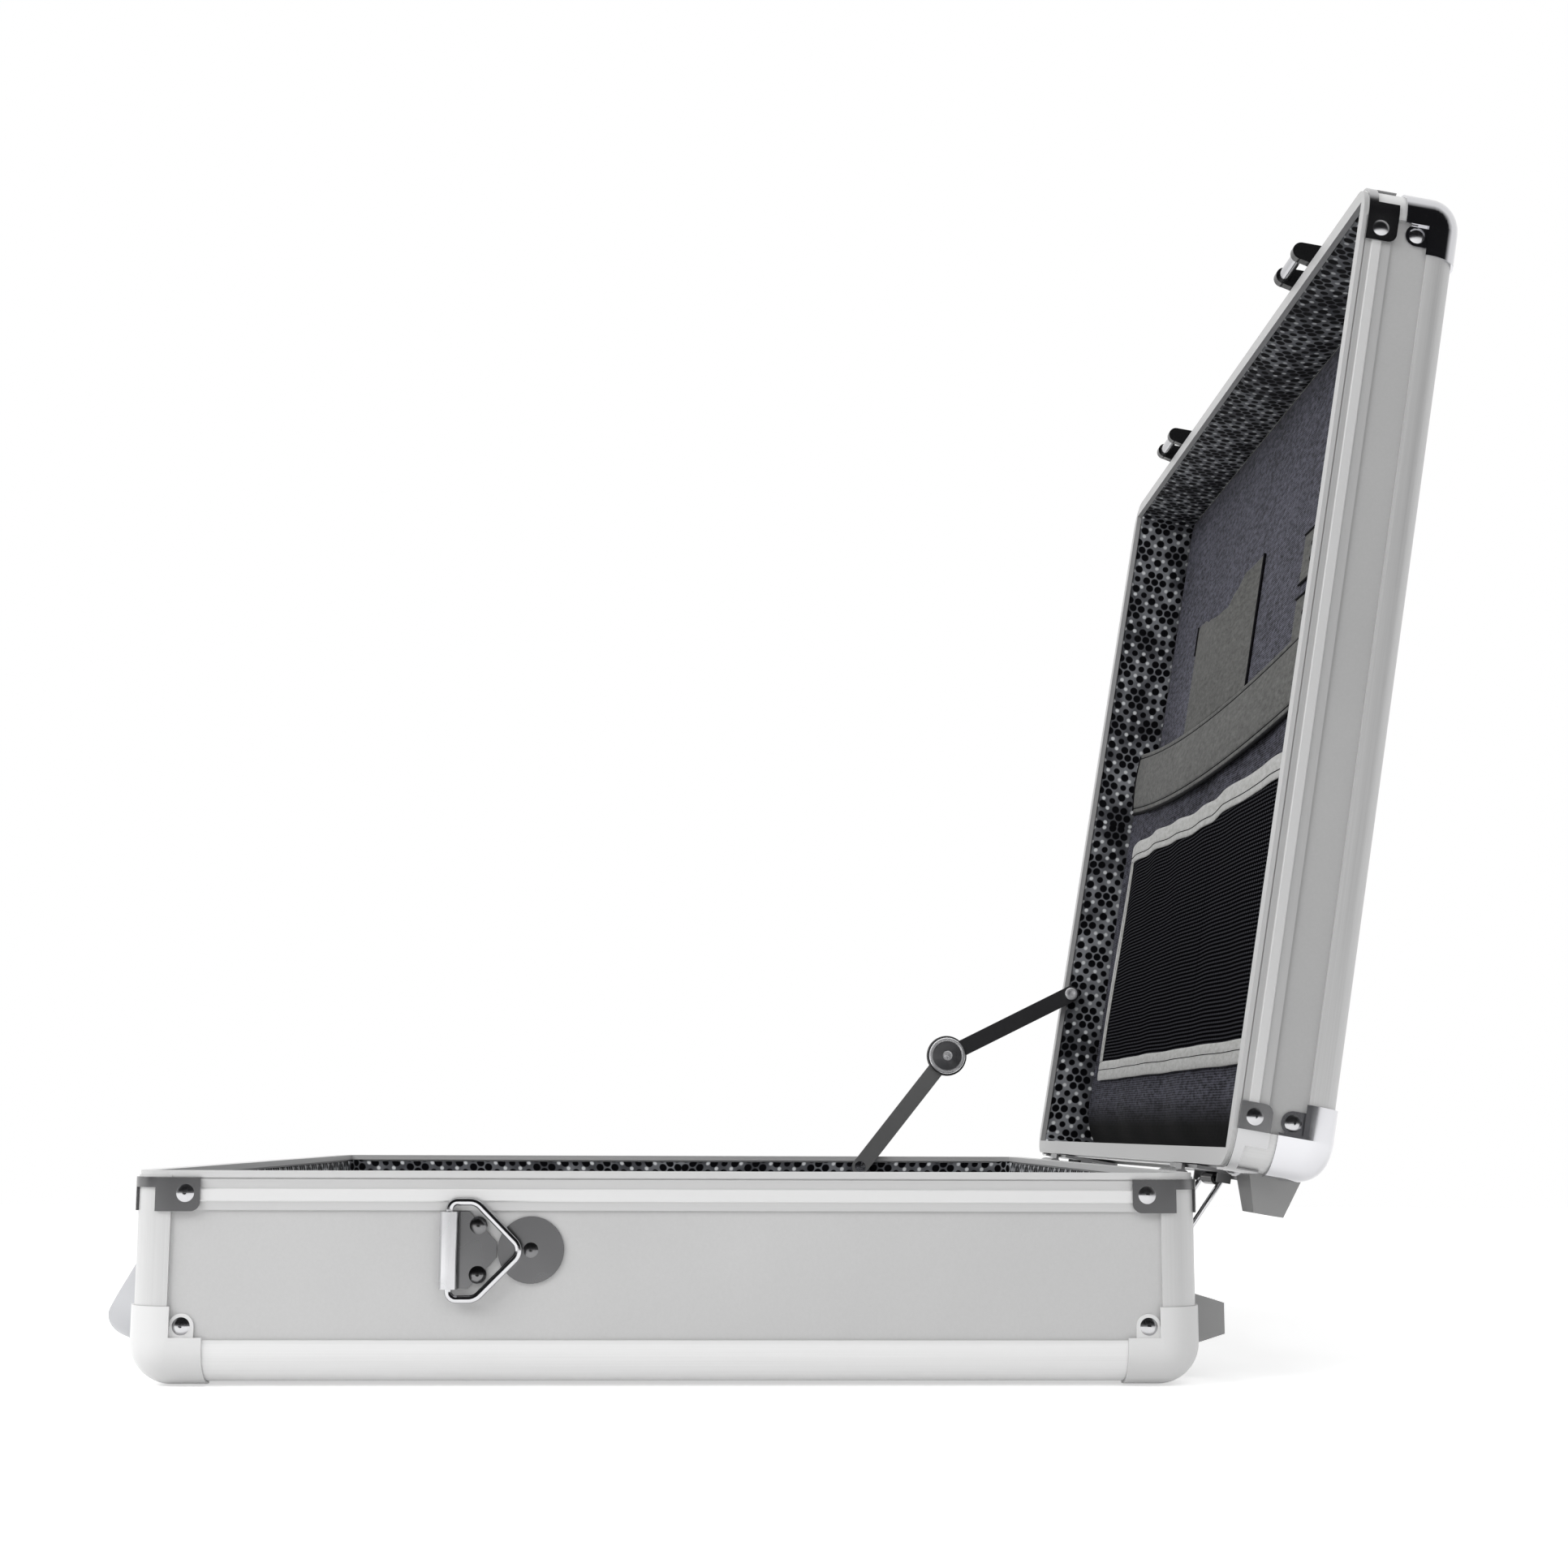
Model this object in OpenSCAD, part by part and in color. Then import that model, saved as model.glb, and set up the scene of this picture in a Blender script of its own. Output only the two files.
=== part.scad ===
// Hard case for a laptop: two framed shells of faced board, joined by stop hinges at the back,
// with a folding stay, hasp latches, a carrying handle and rings for a shoulder strap.
// X runs from side to side, the front with the handle is at -Y, and Z is up.
// The origin is the middle of the base's underside. The lid stands open.

/* [Case] */
// Width of the case from side to side
case_w = 430; // [390:1:480]
// Depth of the case from the front to the hinge side
case_d = 340; // [310:1:380]
// Height of the base up to the top of its rim
base_h = 67; // [66:0.5:90]
// Height of the lid from its rim to its top
lid_h = 35.2; // [35:0.2:60]
// Angle at which the lid stands open
open_angle = 99.7; // [80:0.1:104]

/* [Shell] */
// Thickness of the wall boards and of the base's bottom board
board_t = 4; // [3:0.1:5]
// Thickness of the lid's top board
lid_board_t = 2.8; // [2:0.1:4]
// Height by which the aluminium bars stand proud of the boards
proud = 1.2; // [1:0.1:1.6]
// Thickness of the fabric lining
lining_t = 2; // [1.5:0.1:3]
// Plan radius of the case's corners
corner_r = 12.8; // [12:0.1:14]
// Radius of the base's lower edges
base_edge_r = 12.6; // [10:0.1:12.6]
// Radius of the lid's upper edges
lid_edge_r = 9.8; // [9:0.1:11]
// Width of the flat lip beside each rounded edge
edge_lip = 1; // [0.8:0.1:1.4]
// Depth of the slots that hold the boards' edges
slot_depth = 2.8; // [2:0.1:3]

/* [Rims] */
// Thickness of the rim's flat top
rim_top_t = 1.4; // [1.2:0.1:1.5]
// Step of the rim's top inside the outermost face
rim_inset = 0.4; // [0.3:0.1:0.6]
// Thickness of the lip inside the rim
rim_lip_t = 1; // [0.8:0.1:1.4]
// Height of the lip inside the rim
rim_lip_h = 2.2; // [1.8:0.1:3]
// Gap between the two rims when the case is closed
rim_gap = 0.3; // [0.2:0.05:0.5]
// Heights of the base rim's bands: bead, neck, crown and foot
base_bands = [2.1, 3.3, 4.3, 2.6];
// Heights of the lid rim's bands: bead, neck, crown and foot
lid_bands = [1.5, 2.4, 3.8, 3.1];

/* [Corners] */
// Thickness of the steel corner caps and clips
cap_t = 0.8; // [0.6:0.1:1]
// Length of a cap's arms along the edges
cap_arm = 24; // [22:0.5:30]
// Height of a base cap's arm up the corner
base_cap_h = 24; // [22:0.5:28]
// Height of a lid cap's arm down the corner
lid_cap_h = 19.6; // [18:0.2:20]
// Distance from the case's corner to a cap's rivet
cap_rivet_in = 17.3; // [17:0.1:19]
// Diameter of the rivets' heads
rivet_d = 5.6; // [5:0.1:6]
// Height of the rivets' heads
rivet_h = 1.1; // [0.8:0.1:1.4]
// Distance from the case's corner to the far end of a rim clip
clip_end = 21.9; // [20:0.1:26]
// Height of a rim clip
clip_h = 10.6; // [9:0.1:12]

/* [Hinges] */
// Distance of the hinge axis behind the case
hinge_back = 5.2; // [4.6:0.1:7]
// Depth of the hinge axis below the base's rim
hinge_drop = 2.6; // [2:0.1:4]
// Distance of the hinges from the case's sides
hinge_in = 70; // [67:1:105]
// Width of a hinge
hinge_w = 46; // [40:1:52]
// Radius of the hinge knuckles
knuckle_r = 3; // [2.8:0.1:3.4]
// Diameter of the hinge pins
hinge_pin_d = 3; // [2.6:0.1:3.2]
// Length of the stop bails between their two bars
bail_len = 29; // [27:0.1:31]

/* [Stay] */
// Distance of the stay's pivots in front of the hinge axis
stay_reach = 86.2; // [84:0.1:88]
// Depth of the stay's lower pivot below the base's rim
stay_low_drop = 5; // [4:0.1:7]
// Height of the stay's upper pivot above the base's rim
stay_high_rise = 3.4; // [3.2:0.1:5]
// Length of each stay arm between pivots
stay_arm = 70.3; // [69:0.1:74]
// Width of the stay arms
stay_arm_w = 8; // [7:0.1:8.4]
// Thickness of the stay arms
stay_arm_t = 1.6; // [1.2:0.1:1.8]
// Diameter of the elbow's cover
elbow_d = 20; // [18:0.5:22]

/* [Handle] */
// Length of the handle
handle_w = 176; // [150:1:180]
// Distance of the handle's pivots in front of the case
handle_out = 10; // [9:0.1:12]
// Depth of the handle's pivots below the base's rim
handle_drop = 16; // [11:0.1:17]
// Reach of the handle from its pivots to its outer face
handle_reach = 53.1; // [48:0.1:53.1]
// Angle between the handle and straight down, as it rests on the table
handle_lean = 22.3; // [22:0.1:40]

/* [Latches] */
// Gap between a handle bracket and the latch plate beside it
latch_gap = 4.7; // [2.7:0.1:30]
// Width of the latch plates
latch_w = 50; // [44:1:52]
// Distance of the hasp's pivot in front of the case
hasp_out = 7; // [6.6:0.1:8]
// Depth of the hasp's pivot below the base's rim
hasp_drop = 21; // [20:0.1:24]
// Angle by which an open hasp hangs from its latched place
hasp_open = 172; // [150:1:174]

/* [Strap rings] */
// Distance of the ring's axis in front of the case's middle
ring_y = 69.3; // [40:0.1:100]
// Depth of the ring's middle below the base's rim
ring_drop = 24.6; // [23:0.1:31]
// Diameter of the ring's wire
ring_wire_d = 2.5; // [2:0.1:2.8]
// Height of the ring between its wire's centres
ring_h = 30.3; // [29:0.1:34]
// Reach of the ring from its axis to its sharp tip
ring_reach = 23.5; // [22:0.1:25]

/* [Feet] */
// Distance of the rear feet from the case's sides
foot_in = 35; // [34:0.5:39]
// Height of a foot at its root
foot_root = 17.5; // [14:0.1:19]
// Height of a foot at its tip
foot_tip = 10; // [8:0.1:12]
// Length of a foot from side to side
foot_w = 20; // [12:0.5:20]
// Reach of a foot from the boards
foot_reach = 14; // [12:0.1:16]

/* [Organiser] */
// Thickness of the woven panel on the lid's board
organiser_t = 0.8; // [0.6:0.1:1.2]
// Depth of the document pocket
pocket_depth = 10.4; // [8:0.1:11]
// Width of the mesh pocket
mesh_w = 344; // [300:1:360]
// Width of the grey binding
binding_w = 9; // [7:0.1:11]

/* [Hidden] */
$fn = 48;

// Overrun of cuts, and the running clearance between moving pieces
over = 0.5;
clear = 0.3;
play = 0.1;
// Straight runs of wire are this much fuller than their bends, so that the two join
weld = 0.01;

// Walls, counted inwards from the outermost face
wall_in = proud + board_t;
liner_in = wall_in + lining_t;
lid_top_in = proud + lid_board_t;
rim_in = wall_in + rim_lip_t;

// Hinge axis, and the height of the closed lid's top
hinge_y = case_d / 2 + hinge_back;
hinge_z = base_h - hinge_drop;
hinge_x = case_w / 2 - hinge_in;
lid_rim_z = base_h + rim_gap;
lid_top_z = lid_rim_z + lid_h;
front_y = -case_d / 2;

// Shares that shape the rim's bands, in parts of the proud step
foot_step_share = 0.4;
neck_step_share = 0.5;
groove_step_share = 0.85;
band_slope_share = 0.12;

// Caps and clips
cap_foot = cap_t + play;
rivet_ear_r = rivet_d * 0.7;
cap_post_w = corner_r + cap_foot;
strap_h = clip_h * 0.3;
clip_rivet_rise = 0.4;
clip_window = corner_r * 0.84;
clip_round = 3;

// Feet
foot_taper_share = 0.25;
foot_x = case_w / 2 - foot_in;
base_foot_z = cap_t + play + base_edge_r + foot_root / 3;
lid_foot_z = base_h + rim_gap + lid_h - cap_t - play - lid_edge_r - foot_root * 0.15;

// Stay layers, counted from the lining towards the middle of the case
stay_x = case_w / 2 - liner_in;
stay_gap = 0.5;
stay_y = hinge_y - stay_reach;
stay_low_z = base_h - stay_low_drop;
stay_high_z = base_h + stay_high_rise;
stay_rivet_d = 5.4;
stay_pin_d = 3;
cover_h = 3;

// A point of the closed lid, [y, z], as it stands when the lid is open
function opened(p) = [
  hinge_y + (p[0] - hinge_y) * cos(open_angle) + (p[1] - hinge_z) * sin(open_angle),
  hinge_z - (p[0] - hinge_y) * sin(open_angle) + (p[1] - hinge_z) * cos(open_angle)];
stay_a = [stay_y, stay_low_z];
stay_b = opened([stay_y, stay_high_z]);
stay_span = norm(stay_b - stay_a);
stay_turn = acos(stay_span / (2 * stay_arm));
stay_dir = atan2(stay_b[1] - stay_a[1], stay_b[0] - stay_a[0]);
stay_low_angle = stay_dir + stay_turn;
stay_high_angle = stay_dir - stay_turn;
stay_e = stay_a + stay_arm * [cos(stay_low_angle), sin(stay_low_angle)];

// Bails of the stop hinges: the lid's lug, as closed, and the foot that slides on the base's leaf
leaf_t = 1.2;
bail_wire_d = 1.8;
bail_w = 34;
bail_lug_up = 13.7;
bail_lug_out = 3.3;
bail_foot_y = case_d / 2 + leaf_t + clear + bail_wire_d / 2;
bail_top = opened([case_d / 2 + bail_lug_out, hinge_z + bail_lug_up]);
bail_lean = asin((bail_top[0] - bail_foot_y) / bail_len);
leaf_low = 31;
leaf_lid_up = 26;
rivet_sink = 0.2;
leaf_rivet_d = 4.6;
rivet_crown_share = 0.6;
hinge_gap = 0.3;
leg_gap = 0.5;
leaf_rivet_x = 8;
leaf_rivet_in = 4;
// The leaves' tongues enter the knuckles this far inside their rounds
knuckle_tuck = 0.2;
skin_drop = 0.3;

// Handle
handle_pivot_y = front_y - handle_out;
handle_z = base_h - handle_drop;
grip_t = 17;
grip_h = 22;
handle_arm_w = 16;
handle_eye_r = 6;
handle_eye_w = 10;
handle_eye_wall = 1;
handle_pin_d = 4;
handle_corner_r = 18;
handle_inner_r = 9;
lug_t = 3;
bracket_t = 2;

// Strap rings
ring_z = base_h - ring_drop;

// Latches
bracket_end = handle_w / 2 - handle_arm_w / 2 + handle_eye_w / 2 + clear + lug_t;
latch_x = bracket_end + latch_gap + latch_w / 2;
hasp_y = front_y - hasp_out;
hasp_z = base_h - hasp_drop;
roller_d = 4.6;
roller_out = 5.5;
roller_drop = 2.7;
roller_y = front_y - roller_out;
roller_z = base_h - roller_drop;
cheek_x = 13;
cheek_t = 4;
cheek_r = 3.3;
claw_w = 17;
hasp_w = 26;
hasp_t = 1.4;
hasp_barrel_r = 2.3;
hasp_pin_d = 2.6;
hasp_pin_out = 3;
keeper_t = 1.2;
keeper_h = 9;
latch_plate_t = 1.4;
latch_body_t = 3.2;
latch_h = 20;
latch_screw_in = 4;

// Strap rings
ring_sleeve_wall = 1.5;
ring_sleeve_r = ring_wire_d / 2 + clear + ring_sleeve_wall;
ring_sleeve_h = 24;
ring_axis_x = case_w / 2 - proud + ring_sleeve_r;
ring_plate_t = 1.2;
ring_plate_reach = 14.8;
ring_rivet_u = 9;
ring_rivet_v = 7.7;
ring_disc_d = 21;
ring_disc_u = 25.6;
ring_disc_t = 0.8;

// Organiser, as the closed lid holds it
organiser_z = lid_top_z - cap_foot - lid_top_in;
panel_z = organiser_z - organiser_t;
pocket_z = panel_z - pocket_depth;
soft_gap = 0.3;
inner_w = case_w - 2 * liner_in;
inner_d = case_d - 2 * liner_in;

// Places that repeat

module both_x() {
  children();
  mirror([1, 0, 0]) children();
}

module both_y() {
  children();
  mirror([0, 1, 0]) children();
}

// Each corner of the case, with X and Y pointing inwards from its outermost faces
module at_corners() {
  both_x() both_y() translate([-case_w / 2, -case_d / 2, 0]) children();
}

// A thing on the front face of a corner, and again on its side face
module both_faces() {
  children();
  mirror([1, -1, 0]) children();
}

// The lid's pieces, drawn as the closed lid holds them
module opened_lid() {
  translate([0, hinge_y, hinge_z]) rotate([-open_angle, 0, 0])
    translate([0, -hinge_y, -hinge_z]) children();
}

// A shell drawn with its outer face down, turned over to make the lid
module as_lid() {
  opened_lid() translate([0, 0, lid_top_z]) mirror([0, 0, 1]) children();
}

// A bar along X through the origin: the outline's X becomes Y, and its Y becomes Z
module bar(length) {
  rotate([90, 0, 90]) linear_extrude(length, center = true) children();
}

// The outline runs from the outermost face inwards, along all four walls
module wall_bars(cut) {
  both_y() translate([0, -case_d / 2, 0]) bar(case_w - 2 * cut) children();
  both_x() translate([case_w / 2, 0, 0]) rotate([0, 0, 90]) bar(case_d - 2 * cut) children();
}

// A board standing in the front wall, and one in the right wall
module front_board(low, high) {
  translate([-case_w / 2 + corner_r - slot_depth, -case_d / 2 + proud, low])
    cube([case_w - 2 * (corner_r - slot_depth), board_t, high - low]);
}

module right_board(low, high) {
  translate([case_w / 2 - wall_in, -case_d / 2 + corner_r - slot_depth, low])
    cube([board_t, case_d - 2 * (corner_r - slot_depth), high - low]);
}

module flat_board(edge_r, thickness) {
  w = case_w - 2 * (edge_r - slot_depth);
  d = case_d - 2 * (edge_r - slot_depth);
  translate([-w / 2, -d / 2, cap_foot + proud]) cube([w, d, thickness]);
}

// Outline of a rounded edge bar, with its outer corner at the origin and slots for two boards
module edge_outline(r, floor_t) {
  difference() {
    union() {
      intersection() {
        square(r);
        translate([r, r]) circle(r);
      }
      translate([r, 0]) square([edge_lip, proud]);
      translate([0, r]) square([proud, edge_lip]);
    }
    translate([wall_in, proud + floor_t]) square(r);
    translate([r - slot_depth, proud]) square([r, floor_t]);
    translate([proud, r - slot_depth]) square([board_t, r]);
  }
}

module edge_bars(r, floor_t) {
  translate([0, 0, cap_foot]) wall_bars(cap_arm - slot_depth * 2) edge_outline(r, floor_t);
}

module corner_posts(low, high) {
  at_corners() translate([0, 0, low]) linear_extrude(high - low) difference() {
    intersection() {
      square(corner_r);
      translate([corner_r, corner_r]) circle(corner_r);
    }
    translate([wall_in, wall_in]) square(corner_r);
    both_faces() translate([corner_r - slot_depth, proud]) square([corner_r, board_t]);
  }
}

// Quarter of a ring in the corner where X is positive and Y is negative
module quarter_band(r_in, r_out) {
  intersection() {
    difference() {
      circle(r_out);
      circle(r_in);
    }
    translate([0, -r_out]) square(r_out);
  }
}

// Outline of a cap over one edge: its X runs outwards from the corner's plan centre
module cap_outline(r, inner, high) {
  translate([corner_r - r, r]) quarter_band(r + play, r + cap_foot);
  translate([corner_r + play, r]) square([cap_t, high - r]);
  translate([inner, -cap_foot]) square([corner_r - r - inner, cap_t]);
}

// One pressed corner cap, with a riveted ear on each of its three faces
module corner_cap(r, high) {
  low = r + edge_lip + cap_t;
  translate([corner_r, corner_r, 0]) {
    rotate([0, 0, 180]) rotate_extrude(angle = 90) cap_outline(r, 0, high);
    both_faces() {
      translate([(cap_arm - corner_r) / 2, 0, 0]) mirror([0, 1, 0]) bar(cap_arm - corner_r)
        cap_outline(r, corner_r - low, low);
      translate([0, -corner_r - cap_foot, low]) cube([cap_foot, cap_t, high - low]);
    }
    translate([0, 0, -cap_foot]) cube([low - corner_r, low - corner_r, cap_t]);
  }
  both_faces() cap_ear(low, low + rivet_d * 0.62);
  cap_floor_ear(low, low + rivet_d * 0.62);
}

// An L-shaped riser that steps down from the cap to the board, outside the corner X = left, Y = low
module riser(left, low, right, high) {
  linear_extrude(proud + play) polygon([[left - cap_t, low - cap_t], [right, low - cap_t], [right, low],
    [left, low], [left, high], [left - cap_t, high]]);
}

// The ear lies on the board, with its rounded end round the rivet
module ear_plate(left, low, rivet_x, rivet_z) {
  linear_extrude(cap_t) {
    translate([left, low]) square([rivet_x - left, rivet_z - low]);
    translate([rivet_x, low]) square([rivet_ear_r, rivet_z - low]);
    intersection() {
      translate([rivet_x, rivet_z]) circle(rivet_ear_r);
      translate([left, rivet_z]) square([rivet_x + rivet_ear_r - left, rivet_ear_r]);
    }
  }
}

// The ear on the front face
module cap_ear(low, rivet_z) {
  translate([0, proud, 0]) rotate([90, 0, 0]) {
    riser(cap_post_w, low, cap_rivet_in + rivet_ear_r, rivet_z);
    ear_plate(cap_post_w, low, cap_rivet_in, rivet_z);
  }
}

// The ear on the flat face, between the two lower arms
module cap_floor_ear(low, reach) {
  translate([0, 0, -play]) riser(low, low, reach, reach);
  translate([0, 0, proud - cap_t]) ear_plate(low, low, reach, reach);
}

module corner_caps(r, high) {
  at_corners() translate([0, 0, cap_foot]) corner_cap(r, high);
}

// One rim clip: a strap round the corner between two plates, each with its lower corners rounded
module rim_clip(high) {
  low = high - clip_h;
  translate([corner_r, corner_r, 0]) {
    difference() {
      rotate([0, 0, 180]) rotate_extrude(angle = 90)
        translate([corner_r + play, low]) square([cap_t, clip_h]);
      rotate([0, 0, 225]) translate([0, -clip_window / 2, low - over])
        cube([2 * corner_r, clip_window, clip_h - strap_h + over]);
    }
  }
  both_faces() translate([0, -play, 0]) rotate([90, 0, 0]) linear_extrude(cap_t) difference() {
    translate([corner_r, low]) square([clip_end - corner_r, clip_h]);
    translate([clip_end, low]) mirror([1, 0, 0]) corner_cut(clip_round);
  }
}

// What is cut off a corner at the origin to round it
module corner_cut(r) {
  difference() {
    translate([-over, -over]) square(r + over);
    translate([r, r]) circle(r);
  }
}

module rim_clips(high) {
  at_corners() rim_clip(high);
}

// Outline of a rim's ribbed skirt, in distance inwards and height
module skirt_outline(high, bands) {
  crown_top = high - bands[0] - bands[1];
  foot_top = crown_top - bands[2];
  foot_low = foot_top - bands[3];
  slope = bands[2] * band_slope_share;
  polygon([
    [proud, foot_low], [proud * foot_step_share, foot_low], [proud * foot_step_share, foot_top],
    [0, foot_top + slope], [0, crown_top - slope], [proud * neck_step_share, crown_top],
    [proud * neck_step_share, high - bands[0] - slope], [proud * groove_step_share, high - bands[0] - slope],
    [proud * groove_step_share, high - bands[0]], [rim_inset, high - bands[0]],
    [rim_inset, high - rim_top_t / 2], [proud, high - rim_top_t / 2]]);
}

module rim_frame(high, bands) {
  bead = [rim_inset, high - rim_top_t];
  wall_bars(corner_r) skirt_outline(high, bands);
  translate([0, 0, high - rim_top_t]) linear_extrude(rim_top_t) difference() {
    square([case_w - 2 * rim_inset, case_d - 2 * rim_inset], center = true);
    square([case_w - 2 * rim_in, case_d - 2 * rim_in], center = true);
    at_corners() translate([rim_inset, rim_inset]) corner_cut(corner_r - rim_inset);
  }
  translate([0, 0, high - rim_lip_h]) linear_extrude(rim_lip_h - rim_top_t / 2) difference() {
    square([case_w - 2 * wall_in, case_d - 2 * wall_in], center = true);
    square([case_w - 2 * rim_in, case_d - 2 * rim_in], center = true);
  }
}

// Height of a rim's skirt
function skirt_h(bands) = bands[0] + bands[1] + bands[2] + bands[3];

// The lining: a fabric-covered sheet round the four walls
module wall_lining(low, high) {
  translate([0, 0, low]) linear_extrude(high - low) difference() {
    square([case_w - 2 * wall_in, case_d - 2 * wall_in], center = true);
    square([case_w - 2 * liner_in, case_d - 2 * liner_in], center = true);
  }
}

// A domed rivet head on the plane Z = 0
module rivet(d = rivet_d, h = rivet_h) {
  sphere_r = (d * d / 4 + h * h) / (2 * h);
  rotate_extrude() intersection() {
    translate([0, h - sphere_r]) circle(sphere_r);
    square([d / 2, h]);
  }
}

// The rivets of the caps and clips of one shell
module shell_rivets(r, high, rivet_up, clip_up) {
  at_corners() {
    both_faces() {
      translate([cap_rivet_in, proud - cap_t, rivet_up]) rotate([90, 0, 0]) rivet();
      translate([cap_rivet_in, -cap_foot, clip_up]) rotate([90, 0, 0]) rivet();
    }
    translate([rivet_up - cap_foot, rivet_up - cap_foot, cap_foot + proud - cap_t]) mirror([0, 0, 1]) rivet();
  }
}

// A foot on the back wall: a block that tapers to its tip on all four sides
// with a pad behind it that fills the step down to the board
module rear_foot(z, pad_low, pad_high) {
  reach = foot_reach - proud;
  side = [[-foot_root / 2, 0], [foot_root / 2, 0], [foot_tip / 2, reach], [-foot_tip / 2, reach]];
  taper = (foot_root - foot_tip) * foot_taper_share;
  plan = [[-foot_w / 2, 0], [foot_w / 2, 0], [foot_w / 2 - taper, reach], [-foot_w / 2 + taper, reach]];
  both_x() translate([foot_x, case_d / 2, 0]) {
    translate([0, 0, z]) intersection() {
      translate([0, 0, -foot_root / 2]) linear_extrude(foot_root) polygon(plan);
      rotate([0, -90, 0]) linear_extrude(foot_w, center = true) polygon(side);
    }
    translate([-foot_w / 2, -proud, pad_low]) cube([foot_w, proud, pad_high - pad_low]);
  }
}

// A closed wire in the plane of X and Y: the corners are [x, y, bend radius]
module wire_loop(points, d) {
  count = len(points);
  for (i = [0 : count - 1]) {
    here = points[i];
    after = points[(i + 1) % count];
    last = points[(i + count - 1) % count];
    to = [after[0] - here[0], after[1] - here[1]];
    from = [here[0] - last[0], here[1] - last[1]];
    heading = atan2(from[1], from[0]);
    bend = ((atan2(to[1], to[0]) - heading) + 540) % 360 - 180;
    run_out = here[2] * tan(abs(bend) / 2);
    next_bend = turn_at(points, (i + 1) % count);
    run_in = after[2] * tan(abs(next_bend) / 2);
    side = sign(bend);
    // The bend at this corner
    translate([here[0], here[1], 0]) rotate([0, 0, heading])
      translate([-run_out, side * here[2], 0]) rotate([0, 0, side > 0 ? -90 : 90 - abs(bend)])
        rotate_extrude(angle = abs(bend)) translate([here[2], 0]) circle(d / 2);
    // The straight run to the next corner
    translate([here[0], here[1], 0]) rotate([0, 0, atan2(to[1], to[0])])
      translate([run_out - weld / 2, 0, 0]) rotate([0, 90, 0])
        cylinder(d = d + 2 * weld, h = norm(to) - run_out - run_in + weld);
  }
}

function turn_at(points, i) =
  let (count = len(points), here = points[i], after = points[(i + 1) % count],
    last = points[(i + count - 1) % count])
  (atan2(after[1] - here[1], after[0] - here[0]) - atan2(here[1] - last[1], here[0] - last[0])
    + 540) % 360 - 180;

// Base shell

// The bottom board's outer skin stands a little below its edge, and stays clear of the bars and caps
module bottom_skin() {
  beside_bars = base_edge_r + edge_lip + clear;
  beside_caps = cap_arm + clear;
  translate([0, 0, cap_foot + proud - skin_drop]) linear_extrude(skin_drop + weld) {
    square([case_w - 2 * beside_bars, case_d - 2 * beside_caps], center = true);
    square([case_w - 2 * beside_caps, case_d - 2 * beside_bars], center = true);
  }
}

module base_bottom_board() color("dimgray") {
  flat_board(base_edge_r, board_t);
  bottom_skin();
}

module base_front_panel() color("silver")
  front_board(cap_foot + base_edge_r - slot_depth, base_h - rim_top_t);

module base_back_panel() color("silver")
  mirror([0, 1, 0]) front_board(cap_foot + base_edge_r - slot_depth, base_h - rim_top_t);

module base_right_panel() color("silver")
  right_board(cap_foot + base_edge_r - slot_depth, base_h - rim_top_t);

module base_left_panel() color("silver") mirror([1, 0, 0])
  right_board(cap_foot + base_edge_r - slot_depth, base_h - rim_top_t);

module base_edge_bars() color("gainsboro") edge_bars(base_edge_r, board_t);

module base_corner_posts() color("gainsboro")
  corner_posts(cap_foot + base_edge_r + edge_lip, base_h - rim_top_t);

module base_corner_caps() color("lightgray") corner_caps(base_edge_r, base_cap_h);

module base_corner_clips() color("lightgray") rim_clips(base_h - base_bands[0]);

module base_rim_frame() color("gainsboro") rim_frame(base_h, base_bands);

base_rivet_up = cap_foot + base_edge_r + edge_lip + cap_t + rivet_d * 0.62;
base_clip_up = base_h - base_bands[0] - clip_h / 2 + clip_rivet_rise;
module base_rivets() color("whitesmoke") shell_rivets(base_edge_r, base_cap_h, base_rivet_up, base_clip_up);

base_floor = cap_foot + proud + board_t;
floor_pad_t = 4;
module base_lining() color("black") wall_lining(base_floor, base_h - rim_lip_h);

module base_floor_pad() color("black") translate([0, 0, base_floor]) linear_extrude(floor_pad_t)
  square([inner_w - 2 * soft_gap, inner_d - 2 * soft_gap], center = true);

module base_rear_feet() color("gray")
  rear_foot(base_foot_z, cap_foot + base_edge_r + edge_lip + clear, base_foot_z + foot_root / 2);

// Handle

// Where one bracket stands, drawn at X = 0
module at_handle_arms() {
  both_x() translate([handle_w / 2 - handle_arm_w / 2, 0, 0]) children();
}

module handle_brackets() color("silver") at_handle_arms() {
  lug_x = handle_eye_w / 2 + clear;
  plate_top = base_h - skirt_h(base_bands) - clear;
  plate_low = handle_z - 2 * handle_eye_r;
  translate([-lug_x - lug_t, front_y + proud - bracket_t, plate_low])
    cube([2 * (lug_x + lug_t), bracket_t, plate_top - plate_low]);
  both_x() translate([lug_x, 0, 0]) difference() {
    union() {
      translate([0, handle_pivot_y, handle_z]) rotate([0, 90, 0]) cylinder(r = handle_eye_r, h = lug_t);
      translate([0, handle_pivot_y, handle_z - handle_eye_r * 0.9])
        cube([lug_t, front_y + proud - bracket_t - handle_pivot_y, plate_top - handle_z + handle_eye_r * 0.9]);
    }
    translate([-over, handle_pivot_y, handle_z]) rotate([0, 90, 0])
      cylinder(d = handle_pin_d, h = lug_t + 2 * over);
  }
}

module handle_pins() color("lightgray") at_handle_arms()
  translate([-handle_eye_w / 2 - clear - lug_t, handle_pivot_y, handle_z]) rotate([0, 90, 0])
    cylinder(d = handle_pin_d, h = handle_eye_w + 2 * (clear + lug_t));

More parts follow.
